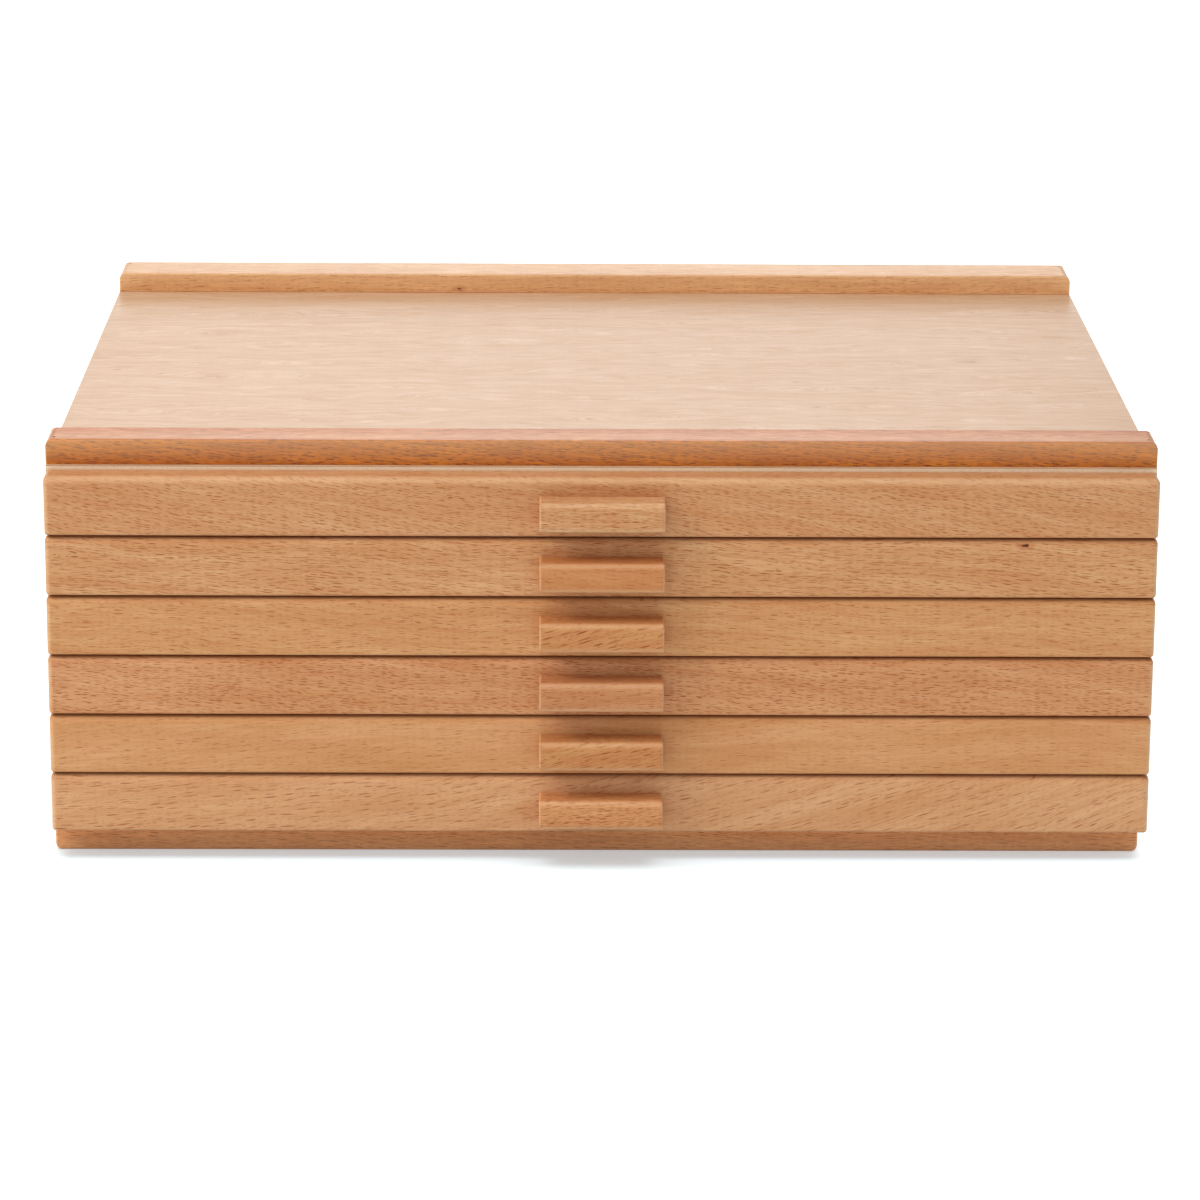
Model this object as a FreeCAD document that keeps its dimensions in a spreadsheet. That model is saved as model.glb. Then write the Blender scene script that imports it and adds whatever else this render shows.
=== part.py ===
import FreeCAD, Part
import os
from enum import IntEnum
from typing import NamedTuple, Optional

import Sketcher

# Pencil drawer box: a beech and plywood carcass with six full-width drawers.
#
# Millimetres. +Z is up, the drawer fronts face -Y, and +X is to the right of someone facing them.
# The origin lies on the resting plane, at the middle of the whole box. Each board is modelled from
# its own lower left front corner and then placed in this frame.

DOC = FreeCAD.newDocument("PencilDrawerBox")

# Driving sizes: alias, value, meaning.
SIZES = (
    ("carcass_width", 400, "width of the carcass, the battens and the drawer fronts"),
    ("carcass_depth", 320, "front edge to rear edge of the side panels"),
    ("panel_thickness", 3, "plywood of the top and bottom panels"),
    ("side_thickness", 12, "solid side panels"),
    ("back_thickness", 4, "plywood back panel"),
    ("back_rabbet", 6, "how far the back panel is let into each side panel"),
    ("top_front_batten_width", 19, "front to rear"),
    ("top_front_batten_height", 9.2, "how far it stands up from the top panel"),
    ("top_rear_batten_width", 24, "front to rear"),
    ("top_rear_batten_height", 7.8, "how far it stands up from the top panel"),
    ("base_batten_width", 19, "front to rear"),
    ("base_batten_height", 9.2, "ground clearance of the bottom panel"),
    ("base_batten_shortfall", 2, "how far the base battens stop short of the right side"),
    ("batten_end_radius", 2.8, "round-over at the outer ends of the battens"),
    ("batten_edge_radius", 0.8, "eased outlines of the battens' front and rear faces"),
    ("brad_shank_radius", 0.45, "round shank of every brad"),
    ("brad_head_radius", 0.6, "flat head of every brad"),
    ("brad_head_height", 0.6, "thickness of a brad's head"),
    ("batten_brad_length", 22, "brads through the battens"),
    ("back_brad_length", 14, "brads through the back panel"),
    ("brad_set", 0.6, "how deep the heads are punched below the surface"),
    ("brad_fit", 0.05, "radial room round a brad"),
    ("brad_end_inset", 3, "brad to the end of its batten"),
    ("brad_edge_inset", 4.2, "brad to the batten's outer long edge"),
    ("drawer_count", 6, "drawers, one above the other"),
    ("front_height", 21.8, "solid drawer fronts, bottom to top"),
    ("front_gap", 0.5, "between one drawer front and the next"),
    ("front_overlap", 1.25, "lap of the end fronts over the top and bottom panels' edges"),
    ("front_thickness", 10.8, "solid drawer fronts, front to rear"),
    ("closed_gap", 0.4, "between the fronts and the carcass when the drawers are shut"),
    ("front_top_radius", 3.2, "round-over along a front's upper edge"),
    ("front_end_radius", 2, "round-over at a front's two ends"),
    ("front_bottom_radius", 1, "eased lower edge of a front"),
    ("pull_length", 45, "left to right"),
    ("pull_height", 11, "bottom to top"),
    ("pull_depth", 11, "how far a pull stands out of its front"),
    ("pull_drop", 1.3, "middle of a pull below the middle of its front"),
    ("pull_edge_radius", 2.5, "long front edges of a pull"),
    ("pull_end_radius", 1, "edges round a pull's two ends"),
    ("bottom_thickness", 3, "plywood drawer bottoms, whose edges are the runner tongues"),
    ("bottom_rise", 4, "drawer bottom above the lower edge of its front"),
    ("groove_depth", 5, "runner grooves in the side panels"),
    ("runner_clearance", 0.3, "above and below a tongue in its groove"),
    ("side_play", 0.6, "tongue to the bottom of its groove"),
    ("rail_thickness", 8, "the four rails of a drawer box"),
    ("rail_gap", 1, "drawer box to side panel"),
    ("rail_drop", 2.3, "top of the rails below the top of the front"),
    ("corner_rabbet", 4, "how far a side rail is let into the front and rear rails"),
    ("drawer_rear_gap", 2, "drawer box to back panel"),
    ("divider_count", 3, "loose dividers in each drawer"),
    ("divider_thickness", 3, "plywood dividers"),
    ("divider_slot_depth", 3, "slots in the front and rear rails"),
    ("divider_clearance", 0.2, "beside and beyond a divider in its slot"),
    ("divider_drop", 0.5, "top of a divider below the top of the rails"),
)

# Places and sizes that follow from the driving sizes: alias, formula.
LAYOUT = (
    ("left", "-Sizes.carcass_width / 2"),
    ("right_side", "left + Sizes.carcass_width - Sizes.side_thickness"),
    ("rear", "(Sizes.carcass_depth + Sizes.closed_gap + Sizes.front_thickness + Sizes.pull_depth) / 2"),
    ("carcass_front", "rear - Sizes.carcass_depth"),
    ("fronts_rear", "carcass_front - Sizes.closed_gap"),
    ("fronts_face", "fronts_rear - Sizes.front_thickness"),
    ("pulls_face", "fronts_face - Sizes.pull_depth"),
    ("back_face", "rear - Sizes.back_thickness"),
    ("floor_top", "Sizes.base_batten_height + Sizes.panel_thickness"),
    ("lowest_front", "floor_top - Sizes.front_overlap"),
    ("drawer_spacing", "Sizes.front_height + Sizes.front_gap"),
    ("stack_height", "Sizes.drawer_count * drawer_spacing - Sizes.front_gap"),
    ("side_height", "stack_height - 2 * Sizes.front_overlap"),
    ("ceiling", "floor_top + side_height"),
    ("lid_top", "ceiling + Sizes.panel_thickness"),
    ("base_batten_length", "Sizes.carcass_width - Sizes.base_batten_shortfall"),
    ("back_width", "Sizes.carcass_width - 2 * (Sizes.side_thickness - Sizes.back_rabbet)"),
    ("back_brad_inset", "Sizes.side_thickness - Sizes.back_rabbet / 2"),
    ("groove_height", "Sizes.bottom_thickness + 2 * Sizes.runner_clearance"),
    ("lowest_groove", "lowest_front + Sizes.bottom_rise - Sizes.runner_clearance"),
    ("lowest_back_brad", "lowest_groove + (groove_height + drawer_spacing) / 2"),
    ("tongue_reach", "Sizes.side_thickness - Sizes.groove_depth + Sizes.side_play"),
    ("bottom_width", "Sizes.carcass_width - 2 * tongue_reach"),
    ("box_width", "Sizes.carcass_width - 2 * (Sizes.side_thickness + Sizes.rail_gap)"),
    ("box_rear", "back_face - Sizes.drawer_rear_gap"),
    ("box_depth", "box_rear - fronts_rear"),
    ("rail_rise", "Sizes.bottom_rise + Sizes.bottom_thickness"),
    ("rail_height", "Sizes.front_height - rail_rise - Sizes.rail_drop"),
    ("corner_web", "Sizes.rail_thickness - Sizes.corner_rabbet"),
    ("side_rail_length", "box_depth - 2 * corner_web"),
    ("slot_width", "Sizes.divider_thickness + 2 * Sizes.divider_clearance"),
    ("room_width", "box_width - 2 * Sizes.rail_thickness"),
    ("divider_pitch", "(room_width + Sizes.divider_thickness) / (Sizes.divider_count + 1)"),
    ("first_divider", "Sizes.rail_thickness + divider_pitch - Sizes.divider_thickness"),
    ("slot_web", "Sizes.rail_thickness - Sizes.divider_slot_depth"),
    ("divider_length", "box_depth - 2 * (slot_web + Sizes.divider_clearance)"),
    ("divider_height", "rail_height - Sizes.divider_drop"),
    ("pull_rise", "(Sizes.front_height - Sizes.pull_height) / 2 - Sizes.pull_drop"),
)

X, Y, Z = range(3)


class Face(NamedTuple):
    """How a sketch lies on one face of a board.

    plane: role of the origin plane that the face is parallel to.
    away: which of the board's sizes lies between that plane and the face, if any does.
    sign: sign of that distance along the plane's normal.
    cut_reversed: whether a pocket has to be reversed to go into the wood.
    axes: the two axes of the sketch.
    """

    plane: str
    away: Optional[int]
    sign: str
    cut_reversed: bool
    axes: tuple


FACES = {
    "top": Face("XY_Plane", Z, "+", False, (X, Y)),
    "bottom": Face("XY_Plane", None, "+", True, (X, Y)),
    "front": Face("XZ_Plane", None, "-", False, (X, Z)),
    "rear": Face("XZ_Plane", Y, "-", True, (X, Z)),
    "left": Face("YZ_Plane", None, "+", True, (Y, Z)),
    "right": Face("YZ_Plane", X, "+", False, (Y, Z)),
}


class PointOf(IntEnum):
    """Sketcher's own numbers for the points of an element."""

    START = 1
    END = 2
    CENTRE = 3


class Axis(IntEnum):
    """Sketcher's own numbers for the axes of a sketch."""

    HORIZONTAL = -1
    VERTICAL = -2


ORIGIN_POINT = (Axis.HORIZONTAL, PointOf.START)

# Turns about +X that aim the tip of a brad, which points down when it isn't turned.
TIP_DOWN, TIP_UP, TIP_FORWARD = 0, 180, -90

# Turns about +Z of a drawer box's front and rear rails, whose slots face each other.
SLOTS_TO_REAR, SLOTS_TO_FRONT = 0, 180

TOLERANCE = 1e-6

PIECES = []


def fill_sheets():
    """Write the driving sizes and the layout that follows from them into two spreadsheets."""
    sizes = DOC.addObject("Spreadsheet::Sheet", "Sizes")
    for row, (alias, millimetres, meaning) in enumerate(SIZES, start=1):
        sizes.set(f"A{row}", alias)
        sizes.set(f"B{row}", str(millimetres))
        sizes.setAlias(f"B{row}", alias)
        sizes.set(f"C{row}", meaning)
    DOC.recompute()
    layout = DOC.addObject("Spreadsheet::Sheet", "Layout")
    for row, (alias, formula) in enumerate(LAYOUT, start=1):
        layout.set(f"A{row}", alias)
        layout.setAlias(f"B{row}", alias)
        layout.set(f"B{row}", f"={formula}")
    DOC.recompute()
    return sizes


SHEET = fill_sheets()


def value(expression):
    """Give the number that an expression stands for."""
    return float(SHEET.evalExpression(expression))


def bind(target, **expressions):
    """Bind properties of an object to expressions."""
    for name, expression in expressions.items():
        target.setExpression(name, expression)


def place(target, corner, axis=(0, 0, 1), degrees=0):
    """Turn an object about an axis and bind the place of its own origin to three expressions."""
    rotation = FreeCAD.Rotation(FreeCAD.Vector(*axis), degrees)
    target.Placement = FreeCAD.Placement(FreeCAD.Vector(), rotation)
    for letter, expression in zip("xyz", corner):
        target.setExpression(f"Placement.Base.{letter}", expression)


def lie_at(points, axis, coordinate):
    """Tell whether points all have one coordinate, given as a number, along an axis."""
    return all(abs(point[axis] - coordinate) < TOLERANCE for point in points)


def constrain(sketch, kind, expression, *references):
    """Add one driving dimension to a sketch and bind it to an expression."""
    index = sketch.addConstraint(Sketcher.Constraint(kind, *references, value(expression)))
    sketch.setExpression(f"Constraints[{index}]", expression)


def pin_point(sketch, point, x, y):
    """Fix a sketch point at two expressions, where "0" puts it on the axis itself."""
    for kind, distance, axis in (("DistanceX", x, Axis.VERTICAL), ("DistanceY", y, Axis.HORIZONTAL)):
        if distance == "0":
            sketch.addConstraint(Sketcher.Constraint("PointOnObject", *point, axis))
        else:
            constrain(sketch, kind, distance, *ORIGIN_POINT, *point)


def draw_rectangle(sketch, x, y, width, height):
    """Draw a rectangle from its lower left corner, with its sizes dimensioned."""
    left, low = value(x), value(y)
    right, high = left + value(width), low + value(height)
    corners = ((left, low), (right, low), (right, high), (left, high))
    points = [FreeCAD.Vector(*corner, 0) for corner in corners]
    following_points = points[1:] + points[:1]
    sides = [sketch.addGeometry(Part.LineSegment(*ends)) for ends in zip(points, following_points)]
    for side, following_side in zip(sides, sides[1:] + sides[:1]):
        corner = (side, PointOf.END, following_side, PointOf.START)
        sketch.addConstraint(Sketcher.Constraint("Coincident", *corner))
    for side, direction in zip(sides, ("Horizontal", "Vertical", "Horizontal", "Vertical")):
        sketch.addConstraint(Sketcher.Constraint(direction, side))
    bottom_side, right_side = sides[:2]
    pin_point(sketch, (bottom_side, PointOf.START), x, y)
    constrain(sketch, "DistanceX", width, bottom_side, PointOf.START, bottom_side, PointOf.END)
    constrain(sketch, "DistanceY", height, right_side, PointOf.START, right_side, PointOf.END)


def draw_circle(sketch, x, y, radius):
    """Draw a circle with its centre and radius dimensioned."""
    centre = FreeCAD.Vector(value(x), value(y), 0)
    circle = sketch.addGeometry(Part.Circle(centre, FreeCAD.Vector(0, 0, 1), value(radius)))
    pin_point(sketch, (circle, PointOf.CENTRE), x, y)
    constrain(sketch, "Radius", radius, circle)


class Board:
    """A board made as a Body, with its size and the place of its corner as expressions."""

    def __init__(self, label, size, corner, degrees=0):
        """Pad a rectangle upwards, turn it about +Z and put its corner in place."""
        self.label = label
        self.size = size
        self.corner = corner
        self.body = DOC.addObject("PartDesign::Body", label)
        self.body.Label = label
        length, width, height = size
        outline = self.sketch("outline", "bottom")
        draw_rectangle(outline, "0", "0", length, width)
        pad = self.body.newObject("PartDesign::Pad", f"{label}_pad")
        pad.Profile = outline
        bind(pad, Length=height)
        place(self.body, corner, degrees=degrees)
        DOC.recompute()
        PIECES.append(self.body)

    def sketch(self, name, face):
        """Add a sketch on one of the board's faces."""
        lie = FACES[face]
        plane = next(item for item in self.body.Origin.OriginFeatures if item.Role == lie.plane)
        sketch = self.body.newObject("Sketcher::SketchObject", f"{self.label}_{name}")
        sketch.AttachmentSupport = [(plane, "")]
        sketch.MapMode = "FlatFace"
        if lie.away is not None:
            sketch.setExpression("AttachmentOffset.Base.z", f"{lie.sign}({self.size[lie.away]})")
        return sketch

    def cut(self, name, face, depth, rectangles=(), circles=()):
        """Cut rectangles and circles into one face, and check that this removed wood."""
        before = self.body.Shape.Volume
        sketch = self.sketch(f"{name}_outline", face)
        for rectangle in rectangles:
            draw_rectangle(sketch, *rectangle)
        for circle in circles:
            draw_circle(sketch, *circle)
        pocket = self.body.newObject("PartDesign::Pocket", f"{self.label}_{name}")
        pocket.Profile = sketch
        pocket.Reversed = FACES[face].cut_reversed
        bind(pocket, Length=depth)
        DOC.recompute()
        if self.body.Shape.Volume > before - TOLERANCE:
            raise RuntimeError(f"{pocket.Name} cuts nothing")
        return pocket

    def repeat(self, pocket, sketch_axis, spacing, count):
        """Repeat a pocket along an axis of its own sketch."""
        pattern = self.body.newObject("PartDesign::LinearPattern", f"{pocket.Name}_pattern")
        pattern.Originals = [pocket]
        pattern.Direction = (pocket.Profile[0], [sketch_axis])
        pattern.Mode = "Spacing"
        bind(pattern, Offset=spacing, Occurrences=count)
        self.body.Tip = pattern
        DOC.recompute()

    def round_edges(self, name, radius, test):
        """Fillet the edges that pass a test, which gets the two ends and the middle of an edge."""
        shaped = self.body.Tip
        names = []
        for number, edge in enumerate(shaped.Shape.Edges, start=1):
            middle = edge.valueAt((edge.FirstParameter + edge.LastParameter) / 2)
            if test([vertex.Point for vertex in edge.Vertexes] + [middle]):
                names.append(f"Edge{number}")
        fillet = self.body.newObject("PartDesign::Fillet", f"{self.label}_{name}")
        fillet.Base = (shaped, names)
        bind(fillet, Radius=radius)
        DOC.recompute()

    def local(self, face, place_in_box):
        """Turn a place in the box's frame into the coordinates of a sketch on one face."""
        return tuple(f"{place_in_box[axis]} - ({self.corner[axis]})" for axis in FACES[face].axes)

    def drill_shanks(self, name, face, depth, places):
        """Drill the holes that brad shanks at these places in the box take in this board."""
        radius = "Sizes.brad_shank_radius + Sizes.brad_fit"
        return self.cut(name, face, depth, circles=[(*self.local(face, at), radius) for at in places])

    def sink_heads(self, name, face, places):
        """Cut the wider mouths that punched brad heads at these places in the box leave."""
        depth = "Sizes.brad_set + Sizes.brad_head_height"
        radius = "Sizes.brad_head_radius + Sizes.brad_fit"
        return self.cut(name, face, depth, circles=[(*self.local(face, at), radius) for at in places])


def add_brad(name, length, at, turn):
    """Make one brad: its head's outer face lies at a place in the box, and a turn aims its tip."""
    shank = DOC.addObject("Part::Cylinder", f"{name}_shank")
    bind(shank, Radius="Sizes.brad_shank_radius", Height=length)
    place(shank, ("0", "0", f"-{length}"))
    head = DOC.addObject("Part::Cylinder", f"{name}_head")
    bind(head, Radius="Sizes.brad_head_radius", Height="Sizes.brad_head_height")
    place(head, ("0", "0", "-Sizes.brad_head_height"))
    brad = DOC.addObject("Part::Fuse", name)
    brad.Base = head
    brad.Tool = shank
    place(brad, at, axis=(1, 0, 0), degrees=turn)
    return brad


def add_group(label, members):
    """Make one piece of several separate solids."""
    group = DOC.addObject("Part::Compound", label)
    group.Label = label
    group.Links = members
    DOC.recompute()
    PIECES.append(group)


class Batten(Board):
    """A solid strip across the whole carcass, held by one brad near each of its ends."""

    def __init__(self, label, length, width, height, at_rear, on_top):
        """Make the strip, round it off and drill for its brads."""
        y = f"Layout.rear - {width}" if at_rear else "Layout.carcass_front"
        z = "Layout.lid_top" if on_top else "0"
        super().__init__(label, (length, width, height), ("Layout.left", y, z))
        self.round_outline(outer_level=value(height) if on_top else 0)
        self.outer_face = "top" if on_top else "bottom"
        brad_y = "Layout.rear - Sizes.brad_edge_inset" if at_rear else f"{y} + Sizes.brad_edge_inset"
        brad_z = f"{z} + {height} - Sizes.brad_set" if on_top else "Sizes.brad_set"
        brad_xs = ("Layout.left + Sizes.brad_end_inset", f"Layout.left + {length} - Sizes.brad_end_inset")
        self.brad_places = [(x, brad_y, brad_z) for x in brad_xs]
        self.drill_shanks("brad_holes", self.outer_face, height, self.brad_places)
        self.sink_heads("brad_mouths", self.outer_face, self.brad_places)
        reach = "Sizes.batten_brad_length + Sizes.brad_set"
        self.depth_in_side = f"{reach} - {height} - Sizes.panel_thickness"

    def round_outline(self, outer_level):
        """Round the ends over, and then ease the front and rear faces away from the panel."""
        length, width, height = (value(size) for size in self.size)
        panel_level = height - outer_level

        def outer_end(points):
            return lie_at(points, Z, outer_level) and (lie_at(points, X, 0) or lie_at(points, X, length))

        def face_outline(points):
            on_face = lie_at(points, Y, 0) or lie_at(points, Y, width)
            return on_face and not lie_at(points, Z, panel_level)

        self.round_edges("ends", "Sizes.batten_end_radius", outer_end)
        self.round_edges("edges", "Sizes.batten_edge_radius", face_outline)

    def brads(self):
        """Make the two brads, whose tips point into the carcass."""
        turn = TIP_DOWN if self.outer_face == "top" else TIP_UP
        return [
            add_brad(f"{self.label}_brad_{side}", "Sizes.batten_brad_length", at, turn)
            for side, at in zip(("left", "right"), self.brad_places)
        ]


def add_panel(label, level, battens):
    """Make the top or bottom panel, which covers the side panels' edges and carries battens."""
    size = ("Sizes.carcass_width", "Sizes.carcass_depth", "Sizes.panel_thickness")
    panel = Board(label, size, ("Layout.left", "Layout.carcass_front", level))
    places = [at for batten in battens for at in batten.brad_places]
    panel.drill_shanks("brad_holes", "bottom", "Sizes.panel_thickness", places)


def add_side_panel(side, battens, back_brad_place):
    """Make a side panel: runner grooves, a rear rabbet, and holes for the tips of the brads."""
    on_left = side == "left"
    size = ("Sizes.side_thickness", "Sizes.carcass_depth", "Layout.side_height")
    x = "Layout.left" if on_left else "Layout.right_side"
    panel = Board(f"{side}_side_panel", size, (x, "Layout.carcass_front", "Layout.floor_top"))
    inner_face = "right" if on_left else "left"
    groove_level = "Layout.lowest_groove - Layout.floor_top"
    groove = ("0", groove_level, "Sizes.carcass_depth", "Layout.groove_height")
    pocket = panel.cut("groove", inner_face, "Sizes.groove_depth", [groove])
    panel.repeat(pocket, "V_Axis", "Layout.drawer_spacing", "Sizes.drawer_count")
    rabbet_start = "Sizes.carcass_depth - Sizes.back_thickness"
    rabbet = (rabbet_start, "0", "Sizes.back_thickness", "Layout.side_height")
    panel.cut("rabbet", inner_face, "Sizes.back_rabbet", [rabbet])
    for batten in battens:
        at = batten.brad_places[0 if on_left else 1]
        panel.drill_shanks(f"{batten.label}_hole", batten.outer_face, batten.depth_in_side, [at])
    depth = "Sizes.back_brad_length + Sizes.brad_set"
    hole = panel.drill_shanks("back_brad_hole", "rear", depth, [back_brad_place])
    panel.repeat(hole, "V_Axis", "Layout.drawer_spacing", "Sizes.drawer_count - 1")


def add_back_panel(brad_places):
    """Make the back panel, held by a column of brads in each side panel's rabbet."""
    size = ("Layout.back_width", "Sizes.back_thickness", "Layout.side_height")
    panel = Board("back_panel", size, ("-Layout.back_width / 2", "Layout.back_face", "Layout.floor_top"))
    holes = panel.drill_shanks("brad_holes", "rear", "Sizes.back_thickness", brad_places)
    panel.repeat(holes, "V_Axis", "Layout.drawer_spacing", "Sizes.drawer_count - 1")
    mouths = panel.sink_heads("brad_mouths", "rear", brad_places)
    panel.repeat(mouths, "V_Axis", "Layout.drawer_spacing", "Sizes.drawer_count - 1")


def add_carcass():
    """Build what stays put: battens, panels and brads."""
    width = "Sizes.carcass_width"
    base_length = "Layout.base_batten_length"
    base = ("Sizes.base_batten_width", "Sizes.base_batten_height")
    top_front = ("Sizes.top_front_batten_width", "Sizes.top_front_batten_height")
    top_rear = ("Sizes.top_rear_batten_width", "Sizes.top_rear_batten_height")
    top_battens = [
        Batten("top_front_batten", width, *top_front, at_rear=False, on_top=True),
        Batten("top_rear_batten", width, *top_rear, at_rear=True, on_top=True),
    ]
    base_battens = [
        Batten("base_front_batten", base_length, *base, at_rear=False, on_top=False),
        Batten("base_rear_batten", base_length, *base, at_rear=True, on_top=False),
    ]
    battens = top_battens + base_battens
    add_panel("top_panel", "Layout.ceiling", top_battens)
    add_panel("bottom_panel", "Sizes.base_batten_height", base_battens)
    brad_xs = ("Layout.left + Layout.back_brad_inset", "-Layout.left - Layout.back_brad_inset")
    lowest_back_brads = [(x, "Layout.rear - Sizes.brad_set", "Layout.lowest_back_brad") for x in brad_xs]
    for side, at in zip(("left", "right"), lowest_back_brads):
        add_side_panel(side, battens, at)
    add_back_panel(lowest_back_brads)
    add_group("batten_brads", [brad for batten in battens for brad in batten.brads()])
    back_brads = []
    for row in range(int(value("Sizes.drawer_count")) - 1):
        for side, (x, y, z) in zip(("left", "right"), lowest_back_brads):
            at = (x, y, f"{z} + {row} * Layout.drawer_spacing")
            brad = add_brad(f"back_brad_{side}_{row}", "Sizes.back_brad_length", at, TIP_FORWARD)
            back_brads.append(brad)
    add_group("back_brads", back_brads)


def add_front(label, level):
    """Make a drawer front: round-over along its top, rounded ends, eased lower edge."""
    size = ("Sizes.carcass_width", "Sizes.front_thickness", "Sizes.front_height")
    front = Board(label, size, ("Layout.left", "Layout.fronts_face", level))
    length, thickness, height = (value(part) for part in size)

    def upper_edge(points):
        return lie_at(points, Y, 0) and lie_at(points, Z, height)

    def end_outline(points):
        at_end = lie_at(points, X, 0) or lie_at(points, X, length)
        return at_end and not lie_at(points, Y, thickness) and not lie_at(points, Z, 0)

    def lower_outline(points):
        return lie_at(points, Z, 0) and not lie_at(points, Y, thickness)

    front.round_edges("upper_edge", "Sizes.front_top_radius", upper_edge)
    front.round_edges("ends", "Sizes.front_end_radius", end_outline)
    front.round_edges("lower_edge", "Sizes.front_bottom_radius", lower_outline)


def add_pull(label, level):
    """Make a pull: a short bar with its long front edges and its ends rounded."""
    size = ("Sizes.pull_length", "Sizes.pull_depth", "Sizes.pull_height")
    corner = ("-Sizes.pull_length / 2", "Layout.pulls_face", f"{level} + Layout.pull_rise")
    pull = Board(label, size, corner)
    length, depth, height = (value(part) for part in size)

    def long_edge(points):
        return lie_at(points, Y, 0) and (lie_at(points, Z, 0) or lie_at(points, Z, height))

    def end_outline(points):
        return (lie_at(points, X, 0) or lie_at(points, X, length)) and not lie_at(points, Y, depth)

    pull.round_edges("long_edges", "Sizes.pull_edge_radius", long_edge)
    pull.round_edges("ends", "Sizes.pull_end_radius", end_outline)


def add_cross_rail(label, corner, degrees):
    """Make a front or rear rail: end rabbets for the side rails, and slots for the dividers."""
    rail = Board(label, ("Layout.box_width", "Sizes.rail_thickness", "Layout.rail_height"), corner, degrees)
    far_end = "Layout.box_width - Sizes.rail_thickness"
    rabbets = [(x, "0", "Sizes.rail_thickness", "Layout.rail_height") for x in ("0", far_end)]
    rail.cut("rabbets", "rear", "Sizes.corner_rabbet", rabbets)
    slot_x = "Layout.first_divider - Sizes.divider_clearance"
    slot = (slot_x, "0", "Layout.slot_width", "Layout.rail_height")
    pocket = rail.cut("slot", "rear", "Sizes.divider_slot_depth", [slot])
    rail.repeat(pocket, "H_Axis", "Layout.divider_pitch", "Sizes.divider_count")


def add_dividers(label, level):
    """Make the loose dividers, which stand on the drawer bottom in the rails' slots."""
    dividers = []
    for number in range(int(value("Sizes.divider_count"))):
        divider = DOC.addObject("Part::Box", f"{label}_{number + 1}")
        bind(divider, Length="Sizes.divider_thickness")
        bind(divider, Width="Layout.divider_length", Height="Layout.divider_height")
        x = f"-Layout.box_width / 2 + Layout.first_divider + {number} * Layout.divider_pitch"
        place(divider, (x, "Layout.fronts_rear + Layout.slot_web + Sizes.divider_clearance", level))
        dividers.append(divider)
    add_group(label, dividers)


def add_drawer(number):
    """Build one drawer; number 1 is the highest."""
    name = f"drawer_{number}"
    level = f"Layout.lowest_front + (Sizes.drawer_count - {number}) * Layout.drawer_spacing"
    rail_level = f"{level} + Layout.rail_rise"
    add_front(f"{name}_front", level)
    add_pull(f"{name}_pull", level)
    box_left, box_right = "-Layout.box_width / 2", "Layout.box_width / 2"
    add_cross_rail(f"{name}_front_rail", (box_left, "Layout.fronts_rear", rail_level), SLOTS_TO_REAR)
    add_cross_rail(f"{name}_rear_rail", (box_right, "Layout.box_rear", rail_level), SLOTS_TO_FRONT)
    rail = ("Sizes.rail_thickness", "Layout.side_rail_length", "Layout.rail_height")
    for side, x in (("left", box_left), ("right", f"{box_right} - Sizes.rail_thickness")):
        Board(f"{name}_{side}_rail", rail, (x, "Layout.fronts_rear + Layout.corner_web", rail_level))
    bottom = ("Layout.bottom_width", "Layout.box_depth", "Sizes.bottom_thickness")
    bottom_corner = ("-Layout.bottom_width / 2", "Layout.fronts_rear", f"{level} + Sizes.bottom_rise")
    Board(f"{name}_bottom", bottom, bottom_corner)
    add_dividers(f"{name}_dividers", rail_level)


def check_and_export():
    """Stop at any failed object or bad shape, and then write every piece to its own file."""
    DOC.recompute()
    for item in DOC.Objects:
        if {"Invalid", "Error"} & set(item.State):
            raise RuntimeError(f"{item.Name} failed: {item.State}")
    for piece in PIECES:
        if piece.Shape.isNull() or not piece.Shape.isValid():
            raise RuntimeError(f"{piece.Label} has no valid shape")
    os.makedirs("parts", exist_ok=True)
    for piece in PIECES:
        piece.Shape.exportStep(f"parts/{piece.Label}.step")
    print(f"{len(PIECES)} pieces written")


add_carcass()
for drawer_number in range(1, int(value("Sizes.drawer_count")) + 1):
    add_drawer(drawer_number)
check_and_export()
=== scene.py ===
"""Pencil drawer box in beech and plywood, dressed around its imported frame.

Everything is in metres in the frame's own axes: +Z is up, the drawer fronts face -Y and +X is to the
right of someone who faces them. Sizes of finishes and roundings are written in millimetres.
"""

import logging
import math
from dataclasses import dataclass, field, replace
from enum import Enum
from typing import ClassVar

import bmesh
import bpy
from bpy.types import Material, Mesh, Node, NodeSocket, NodeTree, Object
from mathutils import Matrix, Vector


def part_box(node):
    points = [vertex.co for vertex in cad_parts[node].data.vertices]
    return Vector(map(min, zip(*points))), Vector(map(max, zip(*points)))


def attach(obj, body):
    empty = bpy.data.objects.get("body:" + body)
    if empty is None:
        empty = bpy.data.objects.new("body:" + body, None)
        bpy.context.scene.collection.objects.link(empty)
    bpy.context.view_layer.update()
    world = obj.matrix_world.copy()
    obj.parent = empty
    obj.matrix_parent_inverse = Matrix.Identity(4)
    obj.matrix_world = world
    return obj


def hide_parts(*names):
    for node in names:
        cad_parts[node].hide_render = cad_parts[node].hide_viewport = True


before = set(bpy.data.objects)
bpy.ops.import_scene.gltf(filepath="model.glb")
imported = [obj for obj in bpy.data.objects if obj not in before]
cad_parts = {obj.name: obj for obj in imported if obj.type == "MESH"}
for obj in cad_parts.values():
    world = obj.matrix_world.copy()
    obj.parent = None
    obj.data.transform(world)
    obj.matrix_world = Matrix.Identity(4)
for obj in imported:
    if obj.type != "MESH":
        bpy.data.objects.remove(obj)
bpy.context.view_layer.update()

LOG = logging.getLogger("drawer_box")

MM = 0.001

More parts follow.
